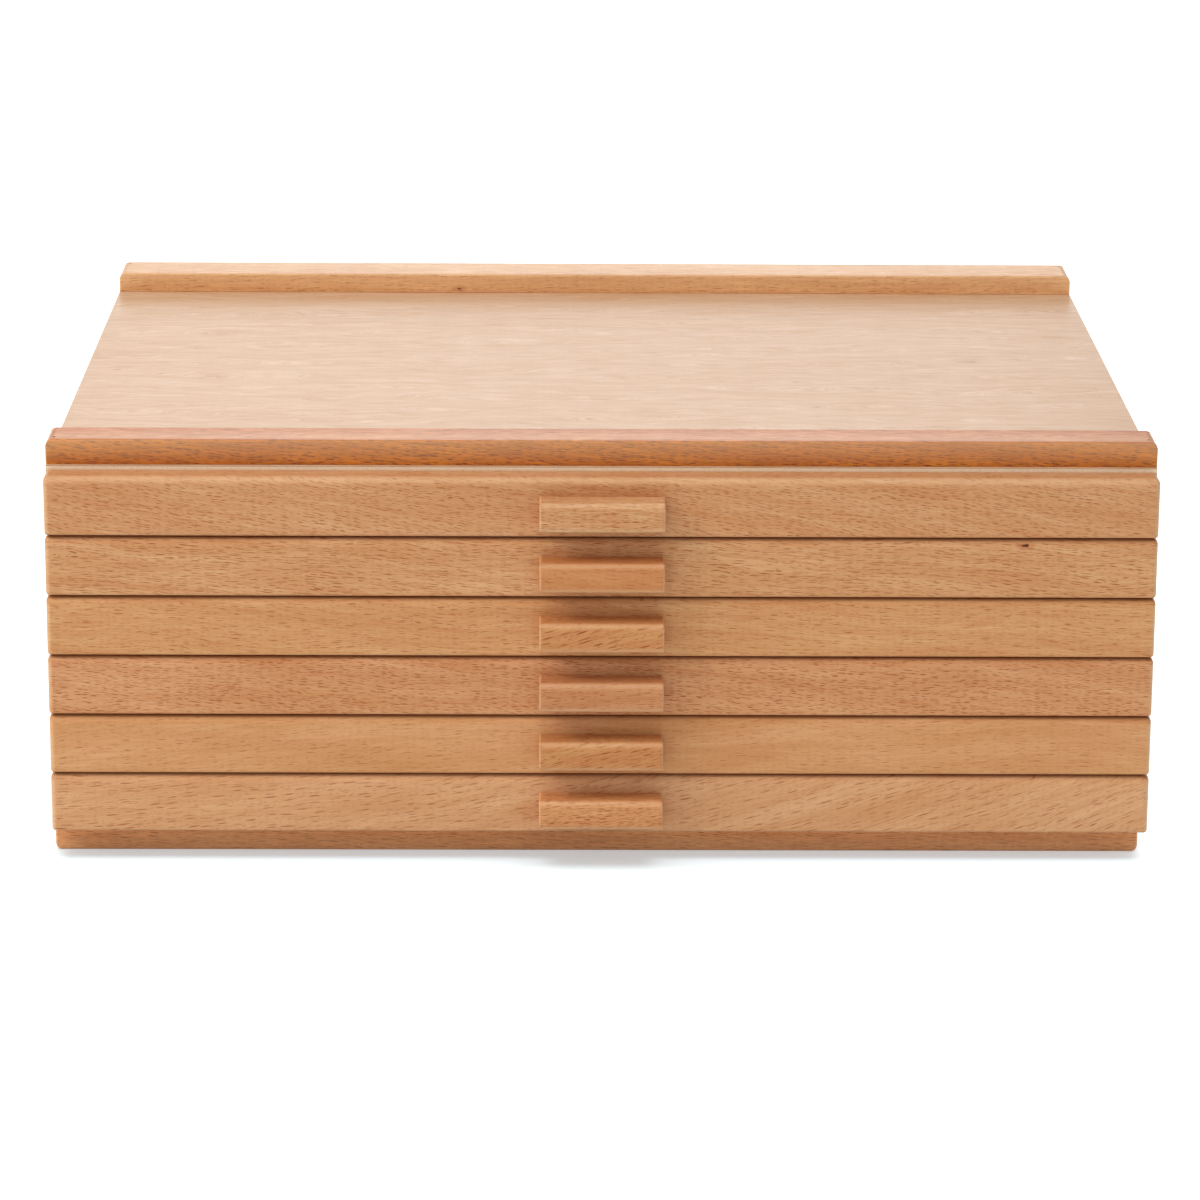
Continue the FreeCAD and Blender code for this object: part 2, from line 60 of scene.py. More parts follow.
# Faces round a board's round-overs, and round the eased arrises of its smaller parts.
ROUND_STEPS = 6
EASE_STEPS = 2
# An edge that bends by more than the first angle is an arris, and one that bends by less than the
# second lies in a flat face.
SHARP_FROM = math.radians(35)
COPLANAR_WITHIN = math.radians(0.5)
# Points of a copied mesh that are closer than this, in millimetres, are one point.
SAME_POINT = 0.001
# How much a board's large faces rule the shading of its round-overs, up to 100.
FLAT_FACE_WEIGHT = 100

# How fast the arris mark, pale wear and a painted highlight, rises as a normal turns away from the axes.
WEAR_AND_HIGHLIGHT_RISE = 6.0
# Painted shade in the gap at a shut side starts where a normal leans this far towards that side.
# It is faint over the whole lean and dark near its end, and the power keeps the dark part narrow.
GAP_SHADE_FROM = 0.2
GAP_SHADE_FAINT, GAP_SHADE_DARK, GAP_SHADE_POWER = 0.15, 0.85, 10

# How far boards lie from one another in the log, per seed, in millimetres along, across and into it.
LOG_STEPS = (431.0, 57.0, 29.0)

# Sockets of Blender's Mix node when it mixes colours.
MIX_FACTOR, MIX_A, MIX_B, MIX_RESULT = 0, 6, 7, 2

Colour = tuple[float, float, float, float]
Tone = Colour | NodeSocket
Wire = NodeSocket | Node
Places = list[tuple[Vector, Vector]]


class Axis(Enum):
    """The frame's axes, by their place in a vector."""

    X = 0
    Y = 1
    Z = 2


class Side(Enum):
    """The six faces of a board, as an axis and the way that it points."""

    LEFT = (0, -1)
    RIGHT = (0, 1)
    FRONT = (1, -1)
    REAR = (1, 1)
    BOTTOM = (2, -1)
    TOP = (2, 1)

    def lean(self, normal: Vector) -> float:
        """Give how far a normal leans towards this side, from -1 to 1."""
        axis, sign = self.value
        return normal[axis] * sign


class Slot(Enum):
    """The record's material slots."""

    FRONT = "front_beech"
    PULL = "pull_beech"
    CARCASS = "carcass_beech"
    DRAWER_BOX = "drawer_box_beech"
    PANEL = "panel_plywood"
    DRAWER_PLY = "drawer_plywood"
    BRAD = "brad_steel"


Radii = dict[frozenset[Side], float]


def colour(code: str) -> Colour:
    """Turn an sRGB hex value into a linear colour.

    Args:
        code: six hex digits after a hash sign.

    Returns:
        Linear red, green and blue, and an alpha of 1.
    """
    channels = [int(code[start : start + 2], 16) / 255 for start in (1, 3, 5)]
    linear = [c / 12.92 if c <= 0.04045 else ((c + 0.055) / 1.055) ** 2.4 for c in channels]
    return (*linear, 1.0)


def add(tree: NodeTree, kind: str, inputs: dict | None = None, **settings) -> Node:
    """Add one node, with its settings and its inputs.

    Args:
        tree: the node tree.
        kind: the node's type.
        inputs: what goes into its sockets, by name or number: a value, another node's output, or a
            node, which stands for its first output.
        **settings: properties of the node.

    Returns:
        The new node.
    """
    node = tree.nodes.new(kind)
    for name, value in settings.items():
        setattr(node, name, value)
    for socket, value in (inputs or {}).items():
        if isinstance(value, Node):
            value = value.outputs[0]
        if isinstance(value, NodeSocket):
            tree.links.new(value, node.inputs[socket])
        else:
            node.inputs[socket].default_value = value
    return node


def lay_tones(tree: NodeTree, tint: Tone, layers: list[tuple[Wire, float, Tone]]) -> NodeSocket:
    """Lay tones over a colour, one after another.

    Args:
        tree: the material's node tree.
        tint: the colour below them.
        layers: each tone's mask, the strength of the mask, and the tone.

    Returns:
        The colour with the tones on it.
    """
    for mask, strength, tone in layers:
        factor = add(tree, "ShaderNodeMath", {0: mask, 1: strength}, operation="MULTIPLY")
        layer = {MIX_FACTOR: factor, MIX_A: tint, MIX_B: tone}
        tint = add(tree, "ShaderNodeMix", layer, data_type="RGBA").outputs[MIX_RESULT]
    return tint


@dataclass(frozen=True)
class Figure:
    """Sockets of one board's figure, from 0 to 1 but for the place.

    Attributes:
        fleck: the ends of the rays.
        ring: growth rings, darkest late in the year.
        streak: fine streaks along the fibres.
        mottle: broad soft blots.
        place: the place in the frame in millimetres.
    """

    fleck: NodeSocket
    ring: NodeSocket
    streak: NodeSocket
    mottle: NodeSocket
    place: NodeSocket


@dataclass(frozen=True)
class Rays:
    """The ends of the wood's rays: short dark spindles that lie along the fibres, in millimetres.

    Real ones are about 0.2 mm thick, too fine to show, so these are drawn a little coarser.

    Attributes:
        apart: their spacing along the fibres.
        rows: their spacing across the fibres.
        length: length of the longest.
        thickness: thickness of the thickest.
        share: share of the spaces that hold one.
        scatter: how far they stray from even spacing, up to 1.
        shortening: how many times shorter the shortest are than the longest.
        faintest: strength of the faintest, where the strongest have 1.
        rim: where their soft edge ends, in half widths.
        heart: where it begins.
    """

    apart: float = 4.2
    rows: float = 1.15
    length: float = 4.6
    thickness: float = 0.38
    share: float = 0.8
    scatter: float = 0.9
    shortening: float = 1.9
    faintest: float = 0.3
    rim: float = 1.1
    heart: float = 0.5

    def mask(self, tree: NodeTree, wood: NodeSocket) -> Node:
        """Draw the rays on two of the wood's coordinates, so that they run deep into the board.

        Args:
            tree: the material's node tree.
            wood: place in the log: along the fibres, across them, and into the face.

        Returns:
            How much of a ray there is, from 0 to 1.
        """
        to_spaces = (1 / self.apart, 1 / self.rows, 0)
        spaces = add(tree, "ShaderNodeVectorMath", {0: wood, 1: to_spaces}, operation="MULTIPLY")
        scattered = {"Vector": spaces, "Scale": 1.0, "Randomness": self.scatter}
        cells = add(tree, "ShaderNodeTexVoronoi", scattered, voronoi_dimensions="2D").outputs
        chance = add(tree, "ShaderNodeSeparateColor", {0: cells["Color"]}).outputs
        away = add(tree, "ShaderNodeVectorMath", {0: spaces, 1: cells["Position"]}, operation="SUBTRACT")
        to_size = (2 * self.apart / self.length, 2 * self.rows / self.thickness, 0)
        sized = add(tree, "ShaderNodeVectorMath", {0: away, 1: to_size}, operation="MULTIPLY")
        offsets = add(tree, "ShaderNodeSeparateXYZ", {0: sized}).outputs
        lengths = {"Value": chance[2], "To Min": self.shortening, "To Max": 1.0}
        stretch = add(tree, "ShaderNodeMapRange", lengths)
        lengthwise = add(tree, "ShaderNodeMath", {0: offsets[0], 1: stretch}, operation="MULTIPLY")
        taper = add(tree, "ShaderNodeMath", {0: lengthwise, 1: 2.0}, operation="POWER")
        half = add(tree, "ShaderNodeMath", {0: offsets[1]}, operation="ABSOLUTE")
        outline = add(tree, "ShaderNodeMath", {0: taper, 1: half}, operation="ADD")
        edge = {"Value": outline, "From Min": self.rim, "From Max": self.heart}
        spindle = add(tree, "ShaderNodeMapRange", edge)
        shows = add(tree, "ShaderNodeMath", {0: chance[0], 1: self.share}, operation="LESS_THAN")
        strength = add(tree, "ShaderNodeMapRange", {"Value": chance[1], "To Min": self.faintest})
        drawn = add(tree, "ShaderNodeMath", {0: spindle, 1: shows}, operation="MULTIPLY")
        return add(tree, "ShaderNodeMath", {0: drawn, 1: strength}, operation="MULTIPLY")


DENSE = Rays(apart=3.7, rows=0.88, length=4.6, thickness=0.33)
LONG = Rays(apart=5.0, rows=0.95, length=6.4, thickness=0.33)
SPARSE = Rays(apart=6.0, rows=1.3, length=5.4, thickness=0.33, share=0.6)
COARSE = Rays(apart=5.8, rows=1.5, length=7.0, thickness=0.46, share=0.6)


@dataclass(frozen=True)
class Blots:
    """Noise that lies along the fibres.

    Attributes:
        size: size of the largest blots along, across and into the wood, in millimetres.
        detail: how many finer layers there are.
        low: the noise's value that counts as 0.
        high: the value that counts as 1.
    """

    size: tuple[float, float, float]
    detail: float
    low: float = 0.3
    high: float = 0.7

    def draw(self, tree: NodeTree, wood: Wire) -> NodeSocket:
        """Draw the noise.

        Args:
            tree: the material's node tree.
            wood: place in the log.

        Returns:
            The noise, spread from 0 to 1.
        """
        to_blots = tuple(1 / part for part in self.size)
        scaled = add(tree, "ShaderNodeVectorMath", {0: wood, 1: to_blots}, operation="MULTIPLY")
        raw = add(tree, "ShaderNodeTexNoise", {"Vector": scaled, "Scale": 1.0, "Detail": self.detail})
        spread = {"Value": raw, "From Min": self.low, "From Max": self.high}
        return add(tree, "ShaderNodeMapRange", spread).outputs[0]


@dataclass(frozen=True)
class Grain:
    """How the fibres, rays and growth rings lie in one board. Lengths are in millimetres.

    Attributes:
        fibre: axis that the fibres follow.
        face: axis that the broad face looks along, which the rays follow.
        tilt: rise of the fibres along the board, in degrees.
        bend: how fast that rise grows, per millimetre.
        seed: picks another part of the log.
        rays: the large rays.
        fine_rays: the small rays between them.
        fine_strength: their strength beside the large ones.
        edge_on: strength of rays on a face that they don't look out of.
        ring_spacing: one year's growth.
        late_wood: the part of the year at which the wood is darkest, and the tone halfway.
        pith_depth: distance from the face to the middle of the log.
        pith_aside: distance from the board's middle sideways to the middle of the log.
        ring_drift: how fast the rings run out of the face along the board.
        warp: how far the fibres wander sideways.
        wander: noise that they wander by.
        streaks: noise of the fine streaks.
        mottle: noise of the broad blots.
    """

    fibre: Axis = Axis.X
    face: Axis = Axis.Y
    tilt: float = 0.0
    bend: float = 0.0
    seed: int = 0
    rays: Rays = Rays()
    fine_rays: Rays = Rays(apart=2.6, rows=0.75, length=2.6, thickness=0.32, share=0.65)
    fine_strength: float = 0.55
    edge_on: float = 0.3
    ring_spacing: float = 2.6
    late_wood: tuple[float, float] = (0.86, 0.12)
    pith_depth: float = 55.0
    pith_aside: float = 40.0
    ring_drift: float = 0.02
    warp: float = 1.6
    wander: Blots = Blots((60, 16, 9), 2.0)
    streaks: Blots = Blots((12, 0.6, 1.4), 3.0)
    mottle: Blots = Blots((60, 6, 20), 4.0)

    def figure(self, tree: NodeTree) -> Figure:
        """Build the figure as a solid pattern, so that face, edge and end grain agree.

        Args:
            tree: the material's node tree.

        Returns:
            The figure's sockets.
        """
        local = add(tree, "ShaderNodeTexCoord").outputs
        to_mm = {0: local["Object"], "Scale": 1 / MM}
        place = add(tree, "ShaderNodeVectorMath", to_mm, operation="SCALE").outputs[0]
        parts = add(tree, "ShaderNodeSeparateXYZ", {0: place}).outputs
        across_axis = next(axis for axis in Axis if axis not in (self.fibre, self.face))
        along, across, depth = (parts[axis.value] for axis in (self.fibre, across_axis, self.face))
        wood = self.log_place(tree, along, across, depth)

        small = {0: self.fine_rays.mask(tree, wood), 1: self.fine_strength}
        fine = add(tree, "ShaderNodeMath", small, operation="MULTIPLY")
        spindles = add(tree, "ShaderNodeMath", {0: self.rays.mask(tree, wood), 1: fine}, operation="MAXIMUM")
        facing_parts = add(tree, "ShaderNodeSeparateXYZ", {0: local["Normal"]}).outputs
        end_on = add(tree, "ShaderNodeMath", {0: facing_parts[self.face.value]}, operation="ABSOLUTE")
        shown = add(tree, "ShaderNodeMapRange", {"Value": end_on, "To Min": self.edge_on})
        fleck = add(tree, "ShaderNodeMath", {0: spindles, 1: shown}, operation="MULTIPLY")

        ring = self.rings(tree, along, depth, wood)
        streak, mottle = self.streaks.draw(tree, wood), self.mottle.draw(tree, wood)
        return Figure(fleck.outputs[0], ring, streak, mottle, place)

    def log_place(
        self, tree: NodeTree, along: NodeSocket, across: NodeSocket, depth: NodeSocket
    ) -> NodeSocket:
        """Find the place in the log from the place on the board.

        Args:
            tree: the material's node tree.
            along: place along the board, in millimetres.
            across: place across it.
            depth: place through it.

        Returns:
            Place along the fibres, across them, and into the face.
        """
        slope = math.tan(math.radians(self.tilt))
        linear = add(tree, "ShaderNodeMath", {0: along, 1: slope}, operation="MULTIPLY")
        square = add(tree, "ShaderNodeMath", {0: along, 1: along}, operation="MULTIPLY")
        curve = {0: square, 1: self.bend, 2: linear}
        rise = add(tree, "ShaderNodeMath", curve, operation="MULTIPLY_ADD")
        straight = add(tree, "ShaderNodeMath", {0: across, 1: rise}, operation="SUBTRACT")
        lie = add(tree, "ShaderNodeCombineXYZ", {0: along, 1: straight, 2: depth})
        offset = tuple(self.seed * step for step in LOG_STEPS)
        log = add(tree, "ShaderNodeVectorMath", {0: lie, 1: offset}, operation="ADD")
        wander = {"Value": self.wander.draw(tree, log), "To Min": -self.warp, "To Max": self.warp}
        sideways = add(tree, "ShaderNodeCombineXYZ", {1: add(tree, "ShaderNodeMapRange", wander)})
        return add(tree, "ShaderNodeVectorMath", {0: log, 1: sideways}, operation="ADD").outputs[0]

    def rings(self, tree: NodeTree, along: NodeSocket, depth: NodeSocket, wood: NodeSocket) -> NodeSocket:
        """Draw the growth rings round the middle of the log.

        Args:
            tree: the material's node tree.
            along: place along the board, in millimetres.
            depth: place through it.
            wood: place in the log.

        Returns:
            0 early in the year and 1 late in it.
        """
        log_across = add(tree, "ShaderNodeSeparateXYZ", {0: wood}).outputs[1]
        pith = self.seed * LOG_STEPS[1] + self.pith_aside
        aside = add(tree, "ShaderNodeMath", {0: log_across, 1: pith}, operation="SUBTRACT")
        inwards = add(tree, "ShaderNodeMath", {0: depth, 1: self.pith_depth}, operation="ADD")
        from_pith = add(tree, "ShaderNodeCombineXYZ", {0: aside, 1: inwards})
        radius = add(tree, "ShaderNodeVectorMath", {0: from_pith}, operation="LENGTH").outputs["Value"]
        drift = add(tree, "ShaderNodeMath", {0: along, 1: self.ring_drift}, operation="MULTIPLY")
        age = add(tree, "ShaderNodeMath", {0: radius, 1: drift}, operation="ADD")
        years = add(tree, "ShaderNodeMath", {0: age, 1: self.ring_spacing}, operation="DIVIDE")
        season = add(tree, "ShaderNodeMath", {0: years}, operation="FRACT")
        ring = add(tree, "ShaderNodeValToRGB", {0: season})
        darkest, halfway = self.late_wood
        stops = ring.color_ramp.elements
        stops[0].color = stops[1].color = (0, 0, 0, 1)
        stops.new(0.5).color = (halfway, halfway, halfway, 1)
        stops.new(darkest).color = (1, 1, 1, 1)
        return ring.outputs[0]


LENGTHWISE = Grain(fibre=Axis.Y, face=Axis.X)
VENEER = Grain(face=Axis.Z, rays=SPARSE, pith_depth=140, warp=5)


class Finish:
    """What all finishes share."""

    def shader(self, tree: NodeTree) -> Node:
        """Build the finish in a material's tree, and give the shader's node."""
        raise NotImplementedError

    def material(self, name: str) -> Material:
        """Build the material.

        Args:
            name: the material's name.

        Returns:
            The material.
        """
        material = bpy.data.materials.new(name)
        material.use_nodes = True
        tree = material.node_tree
        tree.nodes.clear()
        add(tree, "ShaderNodeOutputMaterial", {0: self.shader(tree)})
        return material


@dataclass(frozen=True)
class Knot:
    """A pin knot on a board's face, in millimetres.

    Attributes:
        centre: its place in the frame.
        radius: half of its height.
        halo: half of the height of the red stain round it.
        squash: how much distances along X, Y and Z count, which makes it an oval.
        ragged: how often its rim wavers, per millimetre.
        rim: where its soft rim ends and begins, in radii.
        stain: strength and tone of the halo.
        pin: strength and tone of the knot.
    """

    centre: tuple[float, float, float]
    radius: float
    halo: float
    squash: tuple[float, float, float] = (0.42, 0.3, 1.0)
    ragged: float = 0.9
    rim: tuple[float, float] = (1.5, 0.8)
    stain: tuple[float, str] = (0.35, "#B0582C")
    pin: tuple[float, str] = (0.95, "#4A1D0C")

    def darken(self, tree: NodeTree, place: NodeSocket, tint: NodeSocket) -> NodeSocket:
        """Darken the wood at the knot.

        Args:
            tree: the material's node tree.
            place: the place on the board in millimetres.
            tint: the colour so far.

        Returns:
            The colour with the knot in it.
        """
        away = add(tree, "ShaderNodeVectorMath", {0: place, 1: self.centre}, operation="SUBTRACT")
        oval = add(tree, "ShaderNodeVectorMath", {0: away, 1: self.squash}, operation="MULTIPLY")
        spread = add(tree, "ShaderNodeVectorMath", {0: oval}, operation="LENGTH").outputs["Value"]
        waver = add(tree, "ShaderNodeTexNoise", {"Vector": place, "Scale": self.ragged, "Detail": 3.0})
        outline = {0: waver, 1: self.radius, 2: spread}
        reach = add(tree, "ShaderNodeMath", outline, operation="MULTIPLY_ADD")
        outer, inner = self.rim
        layers = []
        for radius, (strength, tone) in ((self.halo, self.stain), (self.radius, self.pin)):
            edge = {"Value": reach, "From Min": radius * outer, "From Max": radius * inner}
            mask = add(tree, "ShaderNodeMapRange", edge, interpolation_type="SMOOTHSTEP")
            layers.append((mask, strength, colour(tone)))
        return lay_tones(tree, tint, layers)


@dataclass(frozen=True)
class Wood(Finish):
    """What solid boards and veneers share.

    Attributes:
        grain: how the wood lies in the board.
        pale: the palest wood.
        deep: the deepest wood between the rings.
        roughness: of the wood.
        sheen: how far the streaks lower and raise the roughness.
        ior: of the wood.
        mirror: strength of its reflections.
        wax: strength of the wax coat.
        wax_roughness: of the coat.
        wax_ior: of the coat.
        relief: height of the pores in millimetres.
        relief_strength: how strongly the relief shows.
    """

    grain: Grain = Grain()
    pale: str = "#DCAA7C"
    deep: str = "#CE9666"
    roughness: float = 0.4
    sheen: tuple[float, float] = (-0.06, 0.08)
    ior: float = 1.5
    mirror: float = 0.15
    wax: float = 0.0
    wax_roughness: float = 0.3
    wax_ior: float = 1.45
    relief: float = 0.03
    relief_strength: float = 0.6

    def surface(self, tree: NodeTree, streak: NodeSocket, tint: NodeSocket, height: Wire) -> Node:
        """Build the surface, whose sheen follows the streaks.

        Args:
            tree: the material's node tree.
            streak: the figure's streaks.
            tint: the wood's colour.
            height: what raises and sinks it.

        Returns:
            The shader's node.
        """
        lowest, highest = (self.roughness + part for part in self.sheen)
        streaky = {"Value": streak, "To Min": lowest, "To Max": highest}
        depth = {"Strength": self.relief_strength, "Distance": self.relief * MM, "Height": height}
        surface = {
            "Base Color": tint,
            "Roughness": add(tree, "ShaderNodeMapRange", streaky),
            "Normal": add(tree, "ShaderNodeBump", depth),
            "IOR": self.ior,
            "Specular IOR Level": self.mirror,
            "Coat Weight": self.wax,
            "Coat Roughness": self.wax_roughness,
            "Coat IOR": self.wax_ior,
        }
        return add(tree, "ShaderNodeBsdfPrincipled", surface)


@dataclass(frozen=True)
class Beech(Wood):
    """Steamed beech, planed, sanded and waxed.

    It looks a warm pinkish tan and nearly even. What marks it are its rays, short dark spindles where
    the board is cut round the log and broad shiny ribbons where it is cut towards the pith. Wax leaves
    a low sheen that turns bright at a flat angle.

    Attributes:
        late: late wood and streaks.
        ray: the rays.
        worn_and_highlight: wood at a worn arris, which also serves as a painted highlight there.
        gap_shade_tone: painted shade at an edge that closes on a neighbour.
        ring_strength: how strongly the growth rings show.
        ray_strength: how strongly the rays show.
        streak_strength: how strongly the streaks show.
        arris_strength: how pale a worn arris is, with its painted highlight.
        gap_shade: how dark the painted shade at such an edge is.
        sunk: how far the rays sink beside the streaks.
        knots: pin knots.
    """

    late: str = "#B4693A"
    ray: str = "#8A3A0C"
    worn_and_highlight: str = "#F2CDA2"
    gap_shade_tone: str = "#782A03"
    ring_strength: float = 0.15
    ray_strength: float = 0.8
    streak_strength: float = 0.45
    arris_strength: float = 0.25
    gap_shade: float = 0.7
    sunk: float = 0.6
    knots: tuple[Knot, ...] = ()

    def shader(self, tree: NodeTree) -> Node:
        """Build the wood with its rays sunk and its arrises marked.

        Args:
            tree: the material's node tree.

        Returns:
            The shader's node.
        """
        figure = self.grain.figure(tree)
        layers = [
            (figure.mottle, 1.0, colour(self.deep)),
            (figure.ring, self.ring_strength, colour(self.late)),
            (figure.streak, self.streak_strength, colour(self.late)),
            (figure.fleck, self.ray_strength, colour(self.ray)),
        ]
        tint = lay_tones(tree, colour(self.pale), layers)
        for knot in self.knots:
            tint = knot.darken(tree, figure.place, tint)
        arris = add(tree, "ShaderNodeAttribute", attribute_name="arris").outputs["Fac"]
        # The arris mark pales worn arrises, partly as a painted highlight, and paints shade on front edges
        # in the gaps between drawers.
        marks = [(arris, self.arris_strength, colour(self.worn_and_highlight)), (arris, -self.gap_shade, colour(self.gap_shade_tone))]
        tint = lay_tones(tree, tint, marks)
        sunk = add(tree, "ShaderNodeMath", {0: figure.fleck, 1: -self.sunk}, operation="MULTIPLY")
        height = add(tree, "ShaderNodeMath", {0: figure.streak, 1: sunk}, operation="ADD")
        return self.surface(tree, figure.streak, tint, height)


@dataclass(frozen=True)
class Plywood(Wood):
    """Three-ply with beech face veneers, sanded and waxed.

    The veneers are peeled round the log, so they look paler and plainer than solid boards. The edges
    show the plies: thin face veneers and a greyer core that lies crosswise.

    Attributes:
        late: strength and tone of its streaks.
        ray: strength and tone of its rays.
        low: place of the sheet's lower or front face, in millimetres.
        thickness: of the sheet, in millimetres.
        veneer: thickness of a face veneer, in millimetres.
        core: the core's wood, which is speckled with the veneer's.
        speckles: of them per millimetre.
        glue: strength and tone of the glue lines.
        glue_half: half of a glue line's thickness, in millimetres.
    """

    pale: str = "#DAB798"
    deep: str = "#D0A681"
    late: tuple[float, str] = (0.5, "#B4875F")
    ray: tuple[float, str] = (0.4, "#A87B55")
    roughness: float = 0.34
    sheen: tuple[float, float] = (-0.05, 0.07)
    relief: float = 0.02
    relief_strength: float = 0.4
    low: float = 0.0
    thickness: float = 3.0
    veneer: float = 0.6
    core: str = "#FBEBCB"
    speckles: float = 1.6
    glue: tuple[float, str] = (0.45, "#7D6550")
    glue_half: float = 0.09

    @classmethod
    def sheet(cls, node: str, grain: Grain) -> "Plywood":
        """Fit the plies to a sheet.

        Args:
            node: the sheet's node.
            grain: how the wood lies in its veneers.

        Returns:
            The finish of that sheet.
        """
        low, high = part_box(node)
        through = grain.face.value
        return cls(grain, low=low[through] / MM, thickness=(high[through] - low[through]) / MM)

    def shader(self, tree: NodeTree) -> Node:
        """Build the veneers with the plies between them.

        Args:
            tree: the material's node tree.

        Returns:
            The shader's node.
        """
        figure = self.grain.figure(tree)
        layers = [(figure.mottle, 1.0, colour(self.deep))]
        for mask, (strength, tone) in ((figure.streak, self.late), (figure.fleck, self.ray)):
            layers.append((mask, strength, colour(tone)))
        veneer = lay_tones(tree, colour(self.pale), layers)
        tint = self.show_plies(tree, figure.place, veneer)
        return self.surface(tree, figure.streak, tint, figure.streak)

    def show_plies(self, tree: NodeTree, place: NodeSocket, veneer: NodeSocket) -> NodeSocket:
        """Put the core and its two glue lines between the veneers.

        Args:
            tree: the material's node tree.
            place: the place on the sheet in millimetres.
            veneer: the veneers' colour.

        Returns:
            The colour of veneer, glue or core.
        """
        through = add(tree, "ShaderNodeSeparateXYZ", {0: place}).outputs[self.grain.face.value]
        middle = self.low + self.thickness / 2
        from_middle = add(tree, "ShaderNodeMath", {0: through, 1: middle}, operation="SUBTRACT")
        depth = add(tree, "ShaderNodeMath", {0: from_middle}, operation="ABSOLUTE")
        half_core = self.thickness / 2 - self.veneer
        speckle = add(tree, "ShaderNodeTexNoise", {"Vector": place, "Scale": self.speckles, "Detail": 3.0})
        core = lay_tones(tree, colour(self.core), [(speckle, 1.0, colour(self.pale))])
        in_core = add(tree, "ShaderNodeMath", {0: depth, 1: half_core}, operation="LESS_THAN")
        line = {0: depth, 1: half_core, 2: self.glue_half}
        on_line = add(tree, "ShaderNodeMath", line, operation="COMPARE")
        strength, tone = self.glue
        return lay_tones(tree, veneer, [(in_core, 1.0, core), (on_line, strength, colour(tone))])


@dataclass(frozen=True)
class BradSteel(Finish):
    """Bare drawn steel wire. It looks dull grey, with faint brown where it has begun to tarnish.

    Attributes:
        clean: bare steel.
        tarnish: tarnished steel.
        blotches: blotches of tarnish per millimetre.
        roughness: of the wire.
        relief: height of the blotches in millimetres.
        relief_strength: how strongly the relief shows.
    """

    clean: str = "#8E8A85"
    tarnish: str = "#5C4A3A"
    blotches: float = 0.9
    roughness: float = 0.38
    relief: float = 0.02
    relief_strength: float = 0.3

    def shader(self, tree: NodeTree) -> Node:
        """Build the steel.

        Args:
            tree: the material's node tree.

        Returns:
            The shader's node.
        """
        local = add(tree, "ShaderNodeTexCoord").outputs["Object"]
        spots = {"Vector": local, "Scale": self.blotches / MM, "Detail": 3.0}
        blotch = add(tree, "ShaderNodeTexNoise", spots)
        depth = {"Strength": self.relief_strength, "Distance": self.relief * MM, "Height": blotch}
        surface = {
            "Base Color": lay_tones(tree, colour(self.clean), [(blotch, 1.0, colour(self.tarnish))]),
            "Metallic": 1.0,
            "Roughness": self.roughness,
            "Normal": add(tree, "ShaderNodeBump", depth),
        }
        return add(tree, "ShaderNodeBsdfPrincipled", surface)


def seen_directly(tree: NodeTree) -> Node:
    """Tell whether a ray comes from the camera, a reflection or glass.

    Args:
        tree: the node tree of a material or the world.

    Returns:
        The node that gives 1 where it does and 0 elsewhere.
    """
    path = add(tree, "ShaderNodeLightPath").outputs
    seen = {0: path["Is Camera Ray"], 1: path["Is Glossy Ray"]}
    mirrored = add(tree, "ShaderNodeMath", seen, operation="MAXIMUM")
    return add(tree, "ShaderNodeMath", {0: mirrored, 1: path["Is Transmission Ray"]}, operation="MAXIMUM")


@dataclass(frozen=True)
class PaperSweep(Finish):
    """White background paper. It looks matt and plain, with a tooth that is drawn coarse to show.

    Attributes:
        paper: the paper.
        light: tone of what is added to it where it is seen directly.
        glow: how much is added.
        tooth: size of its tooth in millimetres.
        relief: height of the tooth in millimetres.
        relief_strength: how strongly the relief shows.
    """

    paper: str = "#DCE8EC"
    light: str = "#F3FAFF"
    glow: float = 0.4
    tooth: float = 3.0
    relief: float = 0.02
    relief_strength: float = 0.1

    def shader(self, tree: NodeTree) -> Node:
        """Build the paper, which shows as white where no shadow falls on it.

        Args:
            tree: the material's node tree.

        Returns:
            The shader's node.
        """
        local = add(tree, "ShaderNodeTexCoord").outputs["Object"]
        fine = {"Vector": local, "Scale": 1 / (self.tooth * MM), "Detail": 2.0}
        tooth = add(tree, "ShaderNodeTexNoise", fine)
        depth = {"Strength": self.relief_strength, "Distance": self.relief * MM, "Height": tooth}
        matt = {"Color": colour(self.paper), "Normal": add(tree, "ShaderNodeBump", depth)}
        paper = add(tree, "ShaderNodeBsdfDiffuse", matt)
        glow = add(tree, "ShaderNodeMath", {0: seen_directly(tree), 1: self.glow}, operation="MULTIPLY")
        light = add(tree, "ShaderNodeEmission", {"Color": colour(self.light), "Strength": glow})
        return add(tree, "ShaderNodeAddShader", {0: paper, 1: light})


def new_object(name: str, mesh: Mesh) -> Object:
    """Put a mesh into the scene as an object at the origin.

    Args:
        name: the object's name.
        mesh: its mesh.

    Returns:
        The object.
    """
    thing = bpy.data.objects.new(name, mesh)
    bpy.context.scene.collection.objects.link(thing)
    return thing


def bake_modifiers(thing: Object) -> None:
    """Put the modifiers' result into the object's own mesh and remove them.

    Args:
        thing: the object.
    """
    graph = bpy.context.evaluated_depsgraph_get()
    result = bpy.data.meshes.new_from_object(thing.evaluated_get(graph), depsgraph=graph)
    thing.modifiers.clear()
    rough = thing.data
    thing.data = result
    result.name = thing.name
    bpy.data.meshes.remove(rough)


